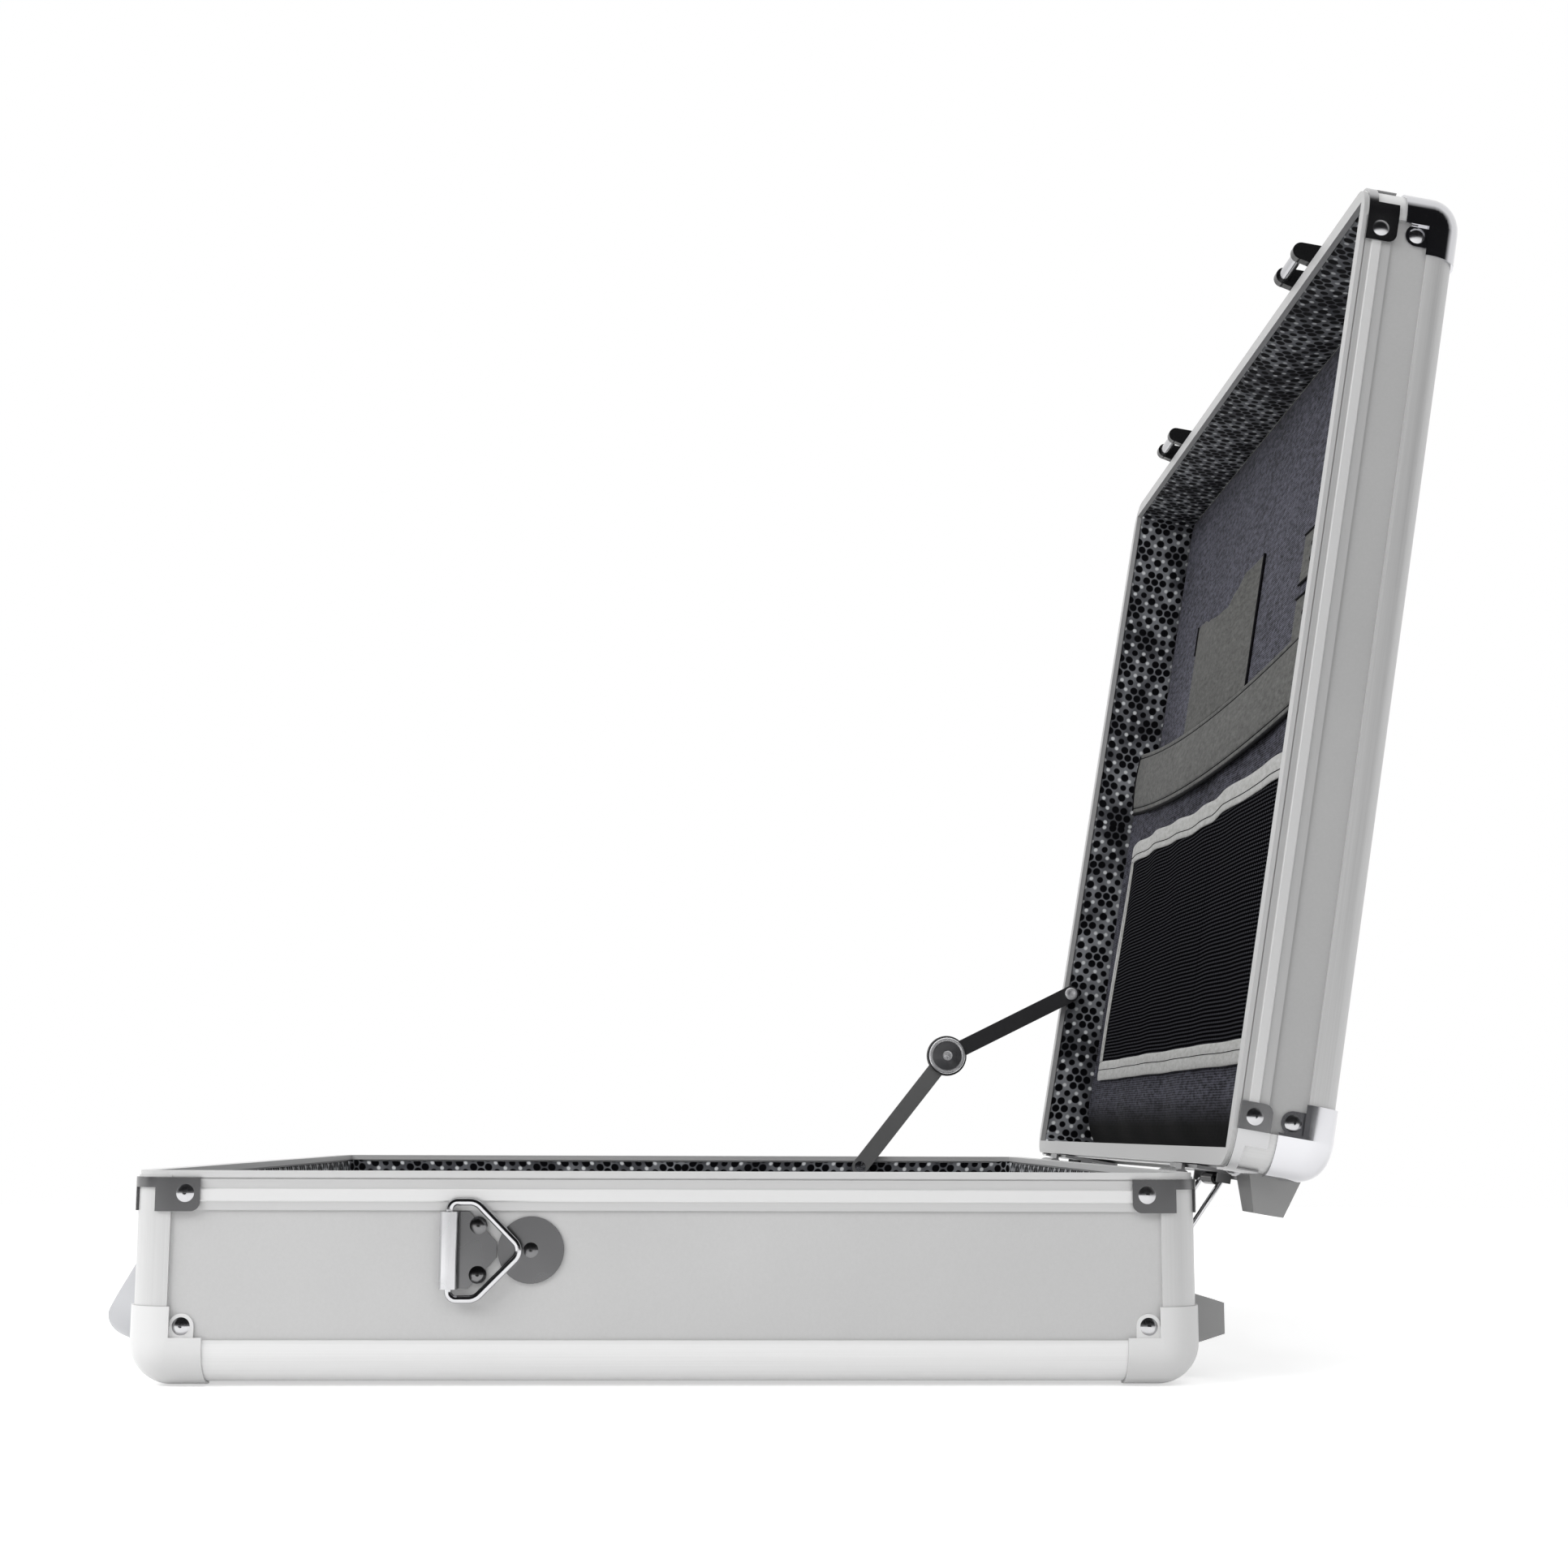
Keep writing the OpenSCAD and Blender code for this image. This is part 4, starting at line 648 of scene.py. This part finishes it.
def makeLining(name, low, high, material, body, replaced):
    # foam-backed lining: a band round the walls, a little full between its edges
    form = bmesh.new()
    half = (high - low) / 2 - Vector((1, 1, 1)) * lining["inset"]
    bmesh.ops.create_grid(form, x_segments=1, y_segments=1, size=1)
    bmesh.ops.scale(form, vec=(half.x, half.y, 1), verts=form.verts[:])
    bmesh.ops.translate(form, vec=(0, 0, low.z), verts=form.verts[:])
    bmesh.ops.bevel(form, geom=form.verts[:], offset=lining["cornerRound"], segments=lining["cornerSteps"],
                    profile=0.5, affect="VERTICES", material=-1)
    bmesh.ops.delete(form, geom=form.faces[:], context="FACES_ONLY")
    walls = [e for e in form.edges if e.calc_length() > 2 * lining["cornerRound"]]
    bmesh.ops.subdivide_edges(form, edges=walls, cuts=lining["cuts"])
    step = (high.z - low.z) / lining["rows"]
    edge = form.edges[:]
    for _ in range(lining["rows"]):
        made = bmesh.ops.extrude_edge_only(form, edges=edge)["geom"]
        raised = [g for g in made if isinstance(g, bmesh.types.BMVert)]
        bmesh.ops.translate(form, vec=(0, 0, step), verts=raised)
        edge = [g for g in made if isinstance(g, bmesh.types.BMEdge)]
    bmesh.ops.recalc_face_normals(form, faces=form.faces[:])
    bmesh.ops.reverse_faces(form, faces=form.faces[:])
    lowest, highest = low.z + lining["heldRim"], high.z - lining["heldRim"]
    puffUp(form, [v for v in form.verts if not lowest < v.co.z < highest], lining)
    tall, across, along = lining["wave"]
    for v in form.verts:
        height = (v.co.z - low.z) / (high.z - low.z)
        swell = (lining["swell"] + tall * math.sin(v.co.x * across + v.co.y * along)) * bell(2 * height - 1)
        # the walls move in towards the middle of the case
        if abs(v.co.x) > half.x - lining["wall"]:
            v.co.x -= math.copysign(swell, v.co.x)
        if abs(v.co.y) > half.y - lining["wall"]:
            v.co.y -= math.copysign(swell, v.co.y)
    piece = finishPiece(name, form, material, body, lining["thickness"])
    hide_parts(replaced)


makeLining("baseLiningCloth", *baseBox("base_lining"), finish["lining"], "base", "base_lining")
makeLining("lidLiningCloth", *lidBox("lid_lining"), finish["lidLining"], "lid", "lid_lining")
print("linings made")

floorPad = {
    "edgeRound": 5,
    "edgeDrop": 0.45,  # share of the thickness that the rounded edge takes
    "cells": (84, 66),
    "sunk": 0.3,
    "crown": 0.9,
    "wave": (0.25, 0.03, 1.3, 0.025),
    "pressure": 6,
    "most": 1.1,
}


def makeFloorPad():
    low, high = baseBox("base_floor_pad")
    half = (high - low) / 2

    def shape(across, along):
        x, y = (2 * across - 1) * half.x, (2 * along - 1) * half.y
        inset = min(half.x - abs(x), half.y - abs(y))
        rounding = min(1.0, max(0.0, inset / floorPad["edgeRound"]))
        drop = (1 - math.sqrt(max(0.0, 1 - (1 - rounding) ** 2))) * (high.z - low.z) * floorPad["edgeDrop"]
        crown = floorPad["crown"] * bell(x / half.x) * bell(y / half.y) + ripple(x, y, floorPad["wave"])
        return Vector((x, y, high.z - floorPad["sunk"] - drop + crown * rounding))

    form = clothForm(floorPad["cells"], shape)
    bmesh.ops.reverse_faces(form, faces=form.faces[:])
    puffUp(form, [v for v in form.verts if v.is_boundary], floorPad)
    # the cover's rim is drawn down to the board, so that the pad is closed
    made = bmesh.ops.extrude_edge_only(form, edges=[e for e in form.edges if e.is_boundary])["geom"]
    for g in made:
        if isinstance(g, bmesh.types.BMVert):
            g.co.z = low.z
    bmesh.ops.holes_fill(form, edges=[g for g in made if isinstance(g, bmesh.types.BMEdge)], sides=0)
    bmesh.ops.recalc_face_normals(form, faces=form.faces[:])
    piece = finishPiece("baseFloorPad", form, finish["floorLining"], "base", smooth=0)
    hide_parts("base_floor_pad")


makeFloorPad()
print("floor pad made")

# The organiser is drawn with the lid closed: x across, y towards the hinges, z falling into the case
panelLow, panelHigh = lidBox("organiser_panel")
pocketLow, pocketHigh = lidBox("document_pocket")
bandLow = lidBox("pocket_band")[0]
bindLow, bindHigh = lidBox("mesh_binding")
cardLow, cardHigh = lidBox("card_pocket")
loopLow, loopHigh = lidBox("pen_loops")
panelZ = panelLow.z


panel = {"tuck": 1.6, "wave": (0.3, 0.045, 0.9, 0.03), "thickness": 0.6}


def makePanel():
    # its edges are tucked under the lining
    half = Vector((panelHigh.x + panel["tuck"], panelHigh.y + panel["tuck"]))

    def shape(across, along):
        x, y = (2 * across - 1) * half.x, (2 * along - 1) * half.y
        return Vector((x, y, panelZ + ripple(x, y, panel["wave"]) * bell(x / half.x) * bell(y / half.y)))

    sheetPiece("organiserCloth", (100, 80), shape, finish["slate"],
               "organiser_panel", panel["thickness"])


pocket = {
    "half": pocketHigh.x,
    "edgeRadius": 5,
    "footLength": 22,  # where the pocket turns back to the board by the hinges
    "footShare": 0.15,  # share of the rows of points there
    "sag": 1.4,
    "creases": ((0.35, 0.06, 0.04), (0.3, 0.11, -0.05)),  # height, and how close they are across and along
    "rise": 0.5,
    "slack": 0.6,
    "shallow": 1.2,  # least depth, where the cloth meets the board
    "inset": 0.2,
    "seams": (2, 12),  # cloth taken up by seams across and along
}


def pocketDepth(x, y):
    # how far the pocket's cloth hangs from the panel at a point
    depth = panelZ - pocketLow.z
    along = (y - pocketLow.y) / (pocketHigh.y - pocketLow.y)
    sag = pocket["sag"] * bell(x / pocket["half"]) * math.sin(math.pi * min(1, max(0, along)))
    creases = [height * math.sin(closeX * x + closeY * y) for height, closeX, closeY in pocket["creases"]]
    crease = creases[0] * bell(x / pocket["half"]) + creases[1]
    back = min(1.0, max(0.0, pocketHigh.y - y) / pocket["footLength"])
    return pocket["rise"] + (depth - pocket["slack"] + sag + crease) * math.sqrt(1 - (1 - back) ** 2)


def makePocket():
    start, end = pocketLow.y + pocket["inset"], pocketHigh.y - pocket["inset"]
    width = 2 * pocket["half"] - pocket["slack"]
    foot = pocket["footShare"]

    def shape(across, along):
        # rows gather where the cloth turns back
        late = max(0.0, along - 1 + foot)
        y = start + (end - start) * (along - late + foot * math.sin(late / foot * math.pi / 2))
        full = max(pocketDepth(0.0, y), pocket["shallow"])
        x, down = roundedPath(across, width, full, min(pocket["edgeRadius"], full * 0.8))
        return Vector((x, y, panelZ - pocketDepth(x, y) * down / full))

    total = pathLength(width, panelZ - pocketLow.z, pocket["edgeRadius"]) + pocket["seams"][0]
    sheetPiece("documentPocketCloth", (130, 90), shape, finish["pocketSlate"],
               "document_pocket")


band = {
    "top": -37.5,
    "topSag": 13.5,
    "low": -6.8,
    "lowSag": 12,
    "reach": 200,  # where the sag of both edges ends
    "edgeRadius": 3,
    "inset": 0.4,
    "swell": 3.2,
    "fullness": 0.9,
    "groove": (0.5, 0.014),  # depth and width of the groove that a seam draws in
    # lines of stitches as shares of the band's width and length
    "seams": (0.075, 0.925),
    "seamReach": (0.028, 0.972),
    "endSeams": (0.032, 0.968),
    "endReach": (0.04, 0.96),
    "cordReach": (0.03, 0.97),
    "cordPlace": (0, 0.6, 0.5),  # from the edge to the middle of its cord
}


def bandPoint(across, along):
    depth = panelZ - bandLow.z
    x, down = roundedPath(across, 2 * pocket["half"] - band["inset"], depth, band["edgeRadius"])
    top = band["top"] + band["topSag"] * bell(x / band["reach"])
    low = band["low"] + band["lowSag"] * bell(x / band["reach"])
    swell = band["swell"] * bell(x / pocket["half"]) + band["fullness"] * math.sin(math.pi * along)
    deep, wide = band["groove"]
    dent = deep * sum(math.exp(-((along - seam) / wide) ** 2) for seam in band["seams"])
    return Vector((x, top + (low - top) * along, panelZ - down / depth * (depth + swell - dent)))


def makeBand():
    sheetPiece("pocketBandCloth", (120, 60), bandPoint, finish["grey"],
               "pocket_band")
    for name, along in zip(("bandTopSeam", "bandLowSeam"), band["seams"]):
        line = trace(lambda share: bandPoint(share, along), *band["seamReach"], steps=80)
        beadPiece(name, line, beads["seam"])
    for name, across in zip(("bandEndSeamLeft", "bandEndSeamRight"), band["endSeams"]):
        line = trace(lambda share: bandPoint(across, share), *band["endReach"], steps=16)
        beadPiece(name, line, beads["endSeam"])
    # a cord in the lower edge closes the pocket's mouth
    place = Vector(band["cordPlace"])
    cord = trace(lambda share: bandPoint(share, 1.0) + place, *band["cordReach"], steps=80, lift=0)
    beadPiece("bandLowCord", cord, beads["cord"])


netting = {
    # height of the hem's upper edge from left to right, with the kink of the middle seam
    "hemTop": ((-171, 13.8), (-121, 15.3), (-62, 17.2), (-9, 19.6), (30, 20), (47, 17.2), (79, 18.1),
               (105, 17.4), (130, 16.6), (171, 15.2)),
    "mouth": 14,
    "hemWidth": 9.8,
    "side": 8,
    "foot": 131.5,  # lower edge of the binding along the bottom
    "footWidth": 9.5,
    "seamX": 35,
    "standOff": 0.9,
    "gape": (2.6, 1.5),  # how far the top stands open, and how fast that ends downwards
    "pleat": (0.35, 0.12),
    "tuck": 3,  # how far the mesh ends inside the outer edges of its bindings
    "laps": (0.9, 0.5),  # share of the hem above the side strips, and above the mesh's edge
    "footLap": 0.5,
    "thickness": 0.5,
}


def hemTop(x):
    return alongTable(netting["hemTop"], x)


def netDepth(x, y):
    # the knitted mesh stands off the pocket, most of all in the middle of its open top
    down = min(1.0, max(0.0, (y - netting["mouth"]) / (netting["foot"] - netting["mouth"])))
    gape = netting["gape"][0] * bell(x / bindHigh.x) * (1 - down) ** netting["gape"][1]
    pleat = netting["pleat"][0] * math.sin(x * netting["pleat"][1]) * (1 - down)
    return pocketDepth(x, y) + netting["standOff"] + gape + pleat


binding = {"rise": 0.85, "edge": 0.35, "groove": (0.25, 0.05), "thickness": 0.6}


def bindingStrip(name, place, cells, seam):
    # a folded strip of binding laid on the mesh, with a row of thread in a shallow groove
    def shape(across, along):
        x, y = place(across, along)
        edge = binding["edge"] * (2 * along - 1) ** 4
        dent = binding["groove"][0] * math.exp(-((along - seam) / binding["groove"][1]) ** 2)
        return Vector((x, y, panelZ - netDepth(x, y) - binding["rise"] + edge + dent))

    piece = finishPiece(name, clothForm(cells, shape), finish["binding"], "lid",
                        binding["thickness"])
    thread = trace(lambda share: shape(share, seam), 0, 1, steps=90, lift=0.05)
    beadPiece(name + "Thread", thread, beads["thread"])
    return piece


def makeBindings():
    left, right = bindLow.x, bindHigh.x
    footTop = netting["foot"] - netting["footWidth"]

    def topPlace(across, along):
        x = left + (right - left) * across
        return x, hemTop(x) + netting["hemWidth"] * along

    def footPlace(across, along):
        return left + (right - left) * across, footTop + netting["footWidth"] * along

    def sidePlace(edge, inward):
        def place(across, along):
            x = edge + inward * netting["side"] * (1 - along)
            start = hemTop(x) + netting["hemWidth"] * netting["laps"][0]
            return x, start + (footTop + netting["footLap"] - start) * across
        return place

    return [
        bindingStrip("meshTopHem", topPlace, cells=(110, 10), seam=0.68),
        bindingStrip("meshFootBinding", footPlace, cells=(90, 10), seam=0.45),
        bindingStrip("meshSideLeft", sidePlace(left, 1), cells=(50, 8), seam=0.2),
        bindingStrip("meshSideRight", sidePlace(right, -1), cells=(50, 8), seam=0.2),
    ]


def makeNetting():
    left, right = bindLow.x + netting["tuck"], bindHigh.x - netting["tuck"]
    end = netting["foot"] - netting["tuck"]

    def shape(across, along):
        x = left + (right - left) * across
        start = hemTop(x) + netting["hemWidth"] * netting["laps"][1]
        y = start + (end - start) * along
        return Vector((x, y, panelZ - netDepth(x, y)))

    strips = makeBindings()
    sheetPiece("meshPocketNet", (110, 60), shape, finish["mesh"],
               "mesh_pocket", netting["thickness"])
    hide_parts("mesh_binding")
    # a fine ridge of thread parts the mesh pocket below the kink in its hem
    x = netting["seamX"]
    top = hemTop(x) + netting["hemWidth"]
    low = netting["foot"] - netting["footWidth"]
    seam = trace(lambda y: Vector((x, y, panelZ - netDepth(x, y))), top, low, steps=59, lift=0)
    beadPiece("meshCentreSeam", seam, beads["ridge"], finish["mesh"])


card = {
    # the mouth's edge from left to right: it sags, then climbs steeply to the near corner
    "mouth": ((-142, -93.6), (-134, -93.3), (-118, -91), (-96, -86.5), (-74, -84), (-57, -84), (-45, -89.5),
              (-33.5, -95.6), (-9, -98)),
    "top": -99,
    "seams": 3,
    "inset": 0.4,
    "gape": (4.5, 1.3),  # how far the mouth opens, and how sharply towards its middle
    "rise": 0.8,
    "swell": 0.8,
    "nearPiping": 1.0,
    "farPiping": 0.26,
    "thickness": 0.8,
}


def cardPoint(across, along):
    x = cardLow.x + card["inset"] + (cardHigh.x - cardLow.x - 2 * card["inset"]) * across
    start = alongTable(card["mouth"], x)
    y = start + (cardHigh.y - card["inset"] - start) * along
    gape = card["gape"][0] * math.sin(math.pi * across) ** card["gape"][1] * (1 - along) ** 2
    swell = card["swell"] * bell(2 * across - 1) * math.sin(math.pi * along)
    return Vector((x, y, panelZ - card["rise"] - gape - swell))


def makeCard():
    sheetPiece("cardPocketCloth", (90, 40), cardPoint, finish["grey"],
               "card_pocket", card["thickness"])
    for side, across, reach in (("Far", 0.0, card["farPiping"]), ("Near", 1.0, card["nearPiping"])):
        line = trace(lambda share: cardPoint(across, share), 0, reach, steps=30)
        beadPiece("cardPiping" + side, line, beads["piping"])


penLoops = {"count": 3, "pinch": 0.09, "flare": 0.04, "fullness": 0.6, "tab": 54, "seam": 1}


def makeLoops():
    ends = sorted(set(round((lidBack @ (v.co / mm)).y, 1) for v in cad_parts["pen_loops"].data.vertices))
    length = ends[1] - ends[0]
    width = loopHigh.x - loopLow.x
    height = panelZ - loopLow.z
    count = penLoops["count"]
    for number, start, replaced in ((1, ends[0], "pen_loops"), (2, ends[2], None)):
        def shape(across, along):
            # a flat tab comes before the loops
            reach = across * (penLoops["tab"] + width) / width - penLoops["tab"] / width
            turn = (reach * count) % 1 if 0 < reach < 1 else 0
            arch = math.sin(math.pi * turn) ** penLoops["fullness"]
            x = loopLow.x + width * reach - penLoops["pinch"] * width / count * math.sin(2 * math.pi * turn)
            flare = 1 + penLoops["flare"] * math.cos(2 * math.pi * along)
            rise = pocket["rise"] + (height - pocket["slack"]) * arch * flare
            return Vector((x, start + length * along, panelZ - rise))

        middle = trace(lambda share: shape(share, 0.5), 0, 1, steps=240, lift=0)
        flat = sum((after - before).length for before, after in zip(middle, middle[1:])) + penLoops["seam"]
        sheetPiece(f"penLoopStrip{number}", (110, 12), shape, finish["grey"],
                   replaced)
        for side, end in (("Low", 0.0), ("Top", 1.0)):
            line = trace(lambda share: shape(share, end), 0, 1, steps=120, lift=0.05)
            beadPiece(f"penLoopEdge{number}{side}", line, beads["loop"])


elbow = {
    # the cover's outline from its rim to its middle: distance from the axis and height
    "outline": ((9, 0), (9, 0.8), (8.6, 1.3), (7.9, 1.5), (7.3, 1.1), (6.8, 1.25), (5, 2.1), (2.9, 2.6),
                (2.4, 2.65), (1.9, 2.5), (1.4, 2.55), (0.8, 2.9), (0, 3)),
    "stud": ((3.1, 0), (3.1, 0.5), (2.7, 0.8), (1.6, 0.9), (1.3, 0.6), (0, 0.55)),
    # reach of the grey painted reflection in the sunk part, from the axis
    "dish": (2.2, 7.3),
    "sunk": 0.05,
    "steps": 64,
}


def spunPiece(name, outline, place, material):
    # a piece turned round the X axis, standing on the face of a stay arm
    form = bmesh.new()
    points = [form.verts.new((height, reach, 0)) for reach, height in ((0, 0),) + outline]
    edges = [form.edges.new(pair) for pair in zip(points, points[1:])]
    bmesh.ops.spin(form, geom=points + edges, cent=(0, 0, 0), axis=(1, 0, 0), dvec=(0, 0, 0),
                   angle=2 * math.pi, steps=elbow["steps"], use_merge=True, use_duplicate=False)
    bmesh.ops.remove_doubles(form, verts=form.verts[:], dist=0.001)
    bmesh.ops.recalc_face_normals(form, faces=form.faces[:])
    bmesh.ops.translate(form, vec=place, verts=form.verts[:])
    return finishPiece(name, form, material, "stay_upper", smooth=0)


def makeStayHeads():
    low, high = baseBox("stay_elbow_cover")
    middle = (low + high) / 2
    cover = spunPiece("elbowCover", elbow["outline"], (low.x, middle.y, middle.z), finish["elbow"])
    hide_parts("stay_elbow_cover")
    # painted reflection: its sunk part takes a grey colour, for the dark its chrome mirrors, between the
    # bright rim and the bright pip
    cover.data.materials.append(finish["dish"])
    for face in cover.data.polygons:
        reach = math.hypot(face.center.y / mm - middle.y, face.center.z / mm - middle.z)
        if elbow["dish"][0] < reach < elbow["dish"][1]:
            face.material_index = 1
    low, high = baseBox("stay_lid_stud")
    middle = (low + high) / 2
    face = baseBox("stay_upper_arm")[1].x
    spunPiece("lidStudHead", elbow["stud"], (face - elbow["sunk"], middle.y, middle.z), finish["elbow"])


makeStayHeads()
makePanel()
makePocket()
makeBand()
makeNetting()
makeCard()
makeLoops()
print("organiser made")

studio = {
    "floor": "#e6e6e6",
    "floorHalf": 1500,
    "floorDrop": 0.4,
    "floorGlow": 0.55,
    "plain": 0.5,  # strength of the even light from all round
    "darkSide": "#18181a",
    "dimSide": "#5c5c5e",
    # axis and range over which the room changes: from floor to unlit, from lit to unlit, from dim to dark
    "edges": ((2, (-0.1, -0.06)), (0, (-0.1, 0.25)), (2, (0.02, 0.22))),
    "lamps": (
        # name, place, aim, side of the square, power
        ("keyLamp", (900, -1200, 1100), (0, -60, 100), 1.1, 20),
        ("fillLamp", (1300, 500, 1300), (0, 60, 120), 1.0, 6),
        ("topLamp", (-300, -100, 1800), (0, 0, 60), 1.2, 11),
    ),
}


def raysOf(tree):
    # rays from the camera, and those that a shiny or clear surface sends on
    rays = addNode(tree, "LightPath").outputs
    sent = addNode(tree, "Math", {"operation": "MAXIMUM", 0: rays["Is Glossy Ray"],
                                  1: rays["Is Transmission Ray"]})
    return rays["Is Camera Ray"], sent


def makeFloor():
    form = bmesh.new()
    bmesh.ops.create_grid(form, x_segments=1, y_segments=1, size=studio["floorHalf"],
                          matrix=Matrix.Translation((0, 0, -studio["floorDrop"])))
    settings = {"Base Color": studio["floor"], "Roughness": 0.9, "Specular IOR Level": 0.0}
    material, tree, shader = newMaterial("white studio floor", settings)[:3]
    direct, sent = raysOf(tree)
    seen = addNode(tree, "Math", {"operation": "MAXIMUM", 0: direct, 1: sent})
    glow = addNode(tree, "Math", {"operation": "MULTIPLY", 0: seen, 1: studio["floorGlow"]})
    light = addNode(tree, "Emission", {"Color": "#ffffff", "Strength": glow})
    both = addNode(tree, "AddShader", {0: shader, 1: light})
    tree.links.new(both.outputs[0], tree.nodes["Material Output"].inputs["Surface"])
    finishPiece("studioFloor", form, material, None, smooth=0)


def makeWorld():
    world = bpy.data.worlds.new("whiteStudio")
    bpy.context.scene.world = world
    world.use_nodes = True
    tree = world.node_tree
    tree.nodes.clear()
    direct, sent = raysOf(tree)
    way = addNode(tree, "SeparateXYZ", {0: addNode(tree, "TexCoord").outputs["Generated"]}).outputs
    # metal sees a white room with one unlit side, dim at eye level and dark above
    ranges = [addNode(tree, "MapRange", {"From": span, "Value": way[axis]}) for axis, span in studio["edges"]]
    share = addNode(tree, "Math", {"operation": "MULTIPLY", 0: ranges[0], 1: ranges[1]})
    unlit = addNode(tree, "Mix", {"data_type": "RGBA", 0: ranges[2], 6: studio["dimSide"],
                                  7: studio["darkSide"]}).outputs[2]
    room = addNode(tree, "Mix", {"data_type": "RGBA", 0: share, 6: "#ffffff", 7: unlit}).outputs[2]
    kinds = (("#ffffff", studio["plain"]), (room, 1.0), ("#ffffff", 1.0))
    plain, mirrored, white = [addNode(tree, "Background", {"Color": colour, "Strength": strength})
                              for colour, strength in kinds]
    first = addNode(tree, "MixShader", {0: sent, 1: plain, 2: mirrored})
    second = addNode(tree, "MixShader", {0: direct, 1: first, 2: white})
    addNode(tree, "OutputWorld", {"Surface": second})


def makeLamps():
    for name, place, aim, side, power in studio["lamps"]:
        data = bpy.data.lights.new(name, "AREA")
        data.shape = "SQUARE"
        data.size = side
        data.energy = power
        lamp = addObject(name, data)
        lamp.visible_glossy = False
        here, there = Vector(place) * mm, Vector(aim) * mm
        turn = (there - here).to_track_quat("-Z", "Y").to_matrix().to_4x4()
        lamp.matrix_world = Matrix.Translation(here) @ turn


makeFloor()
makeWorld()
makeLamps()
bpy.context.scene.view_settings.view_transform = "Standard"
print("studio made")
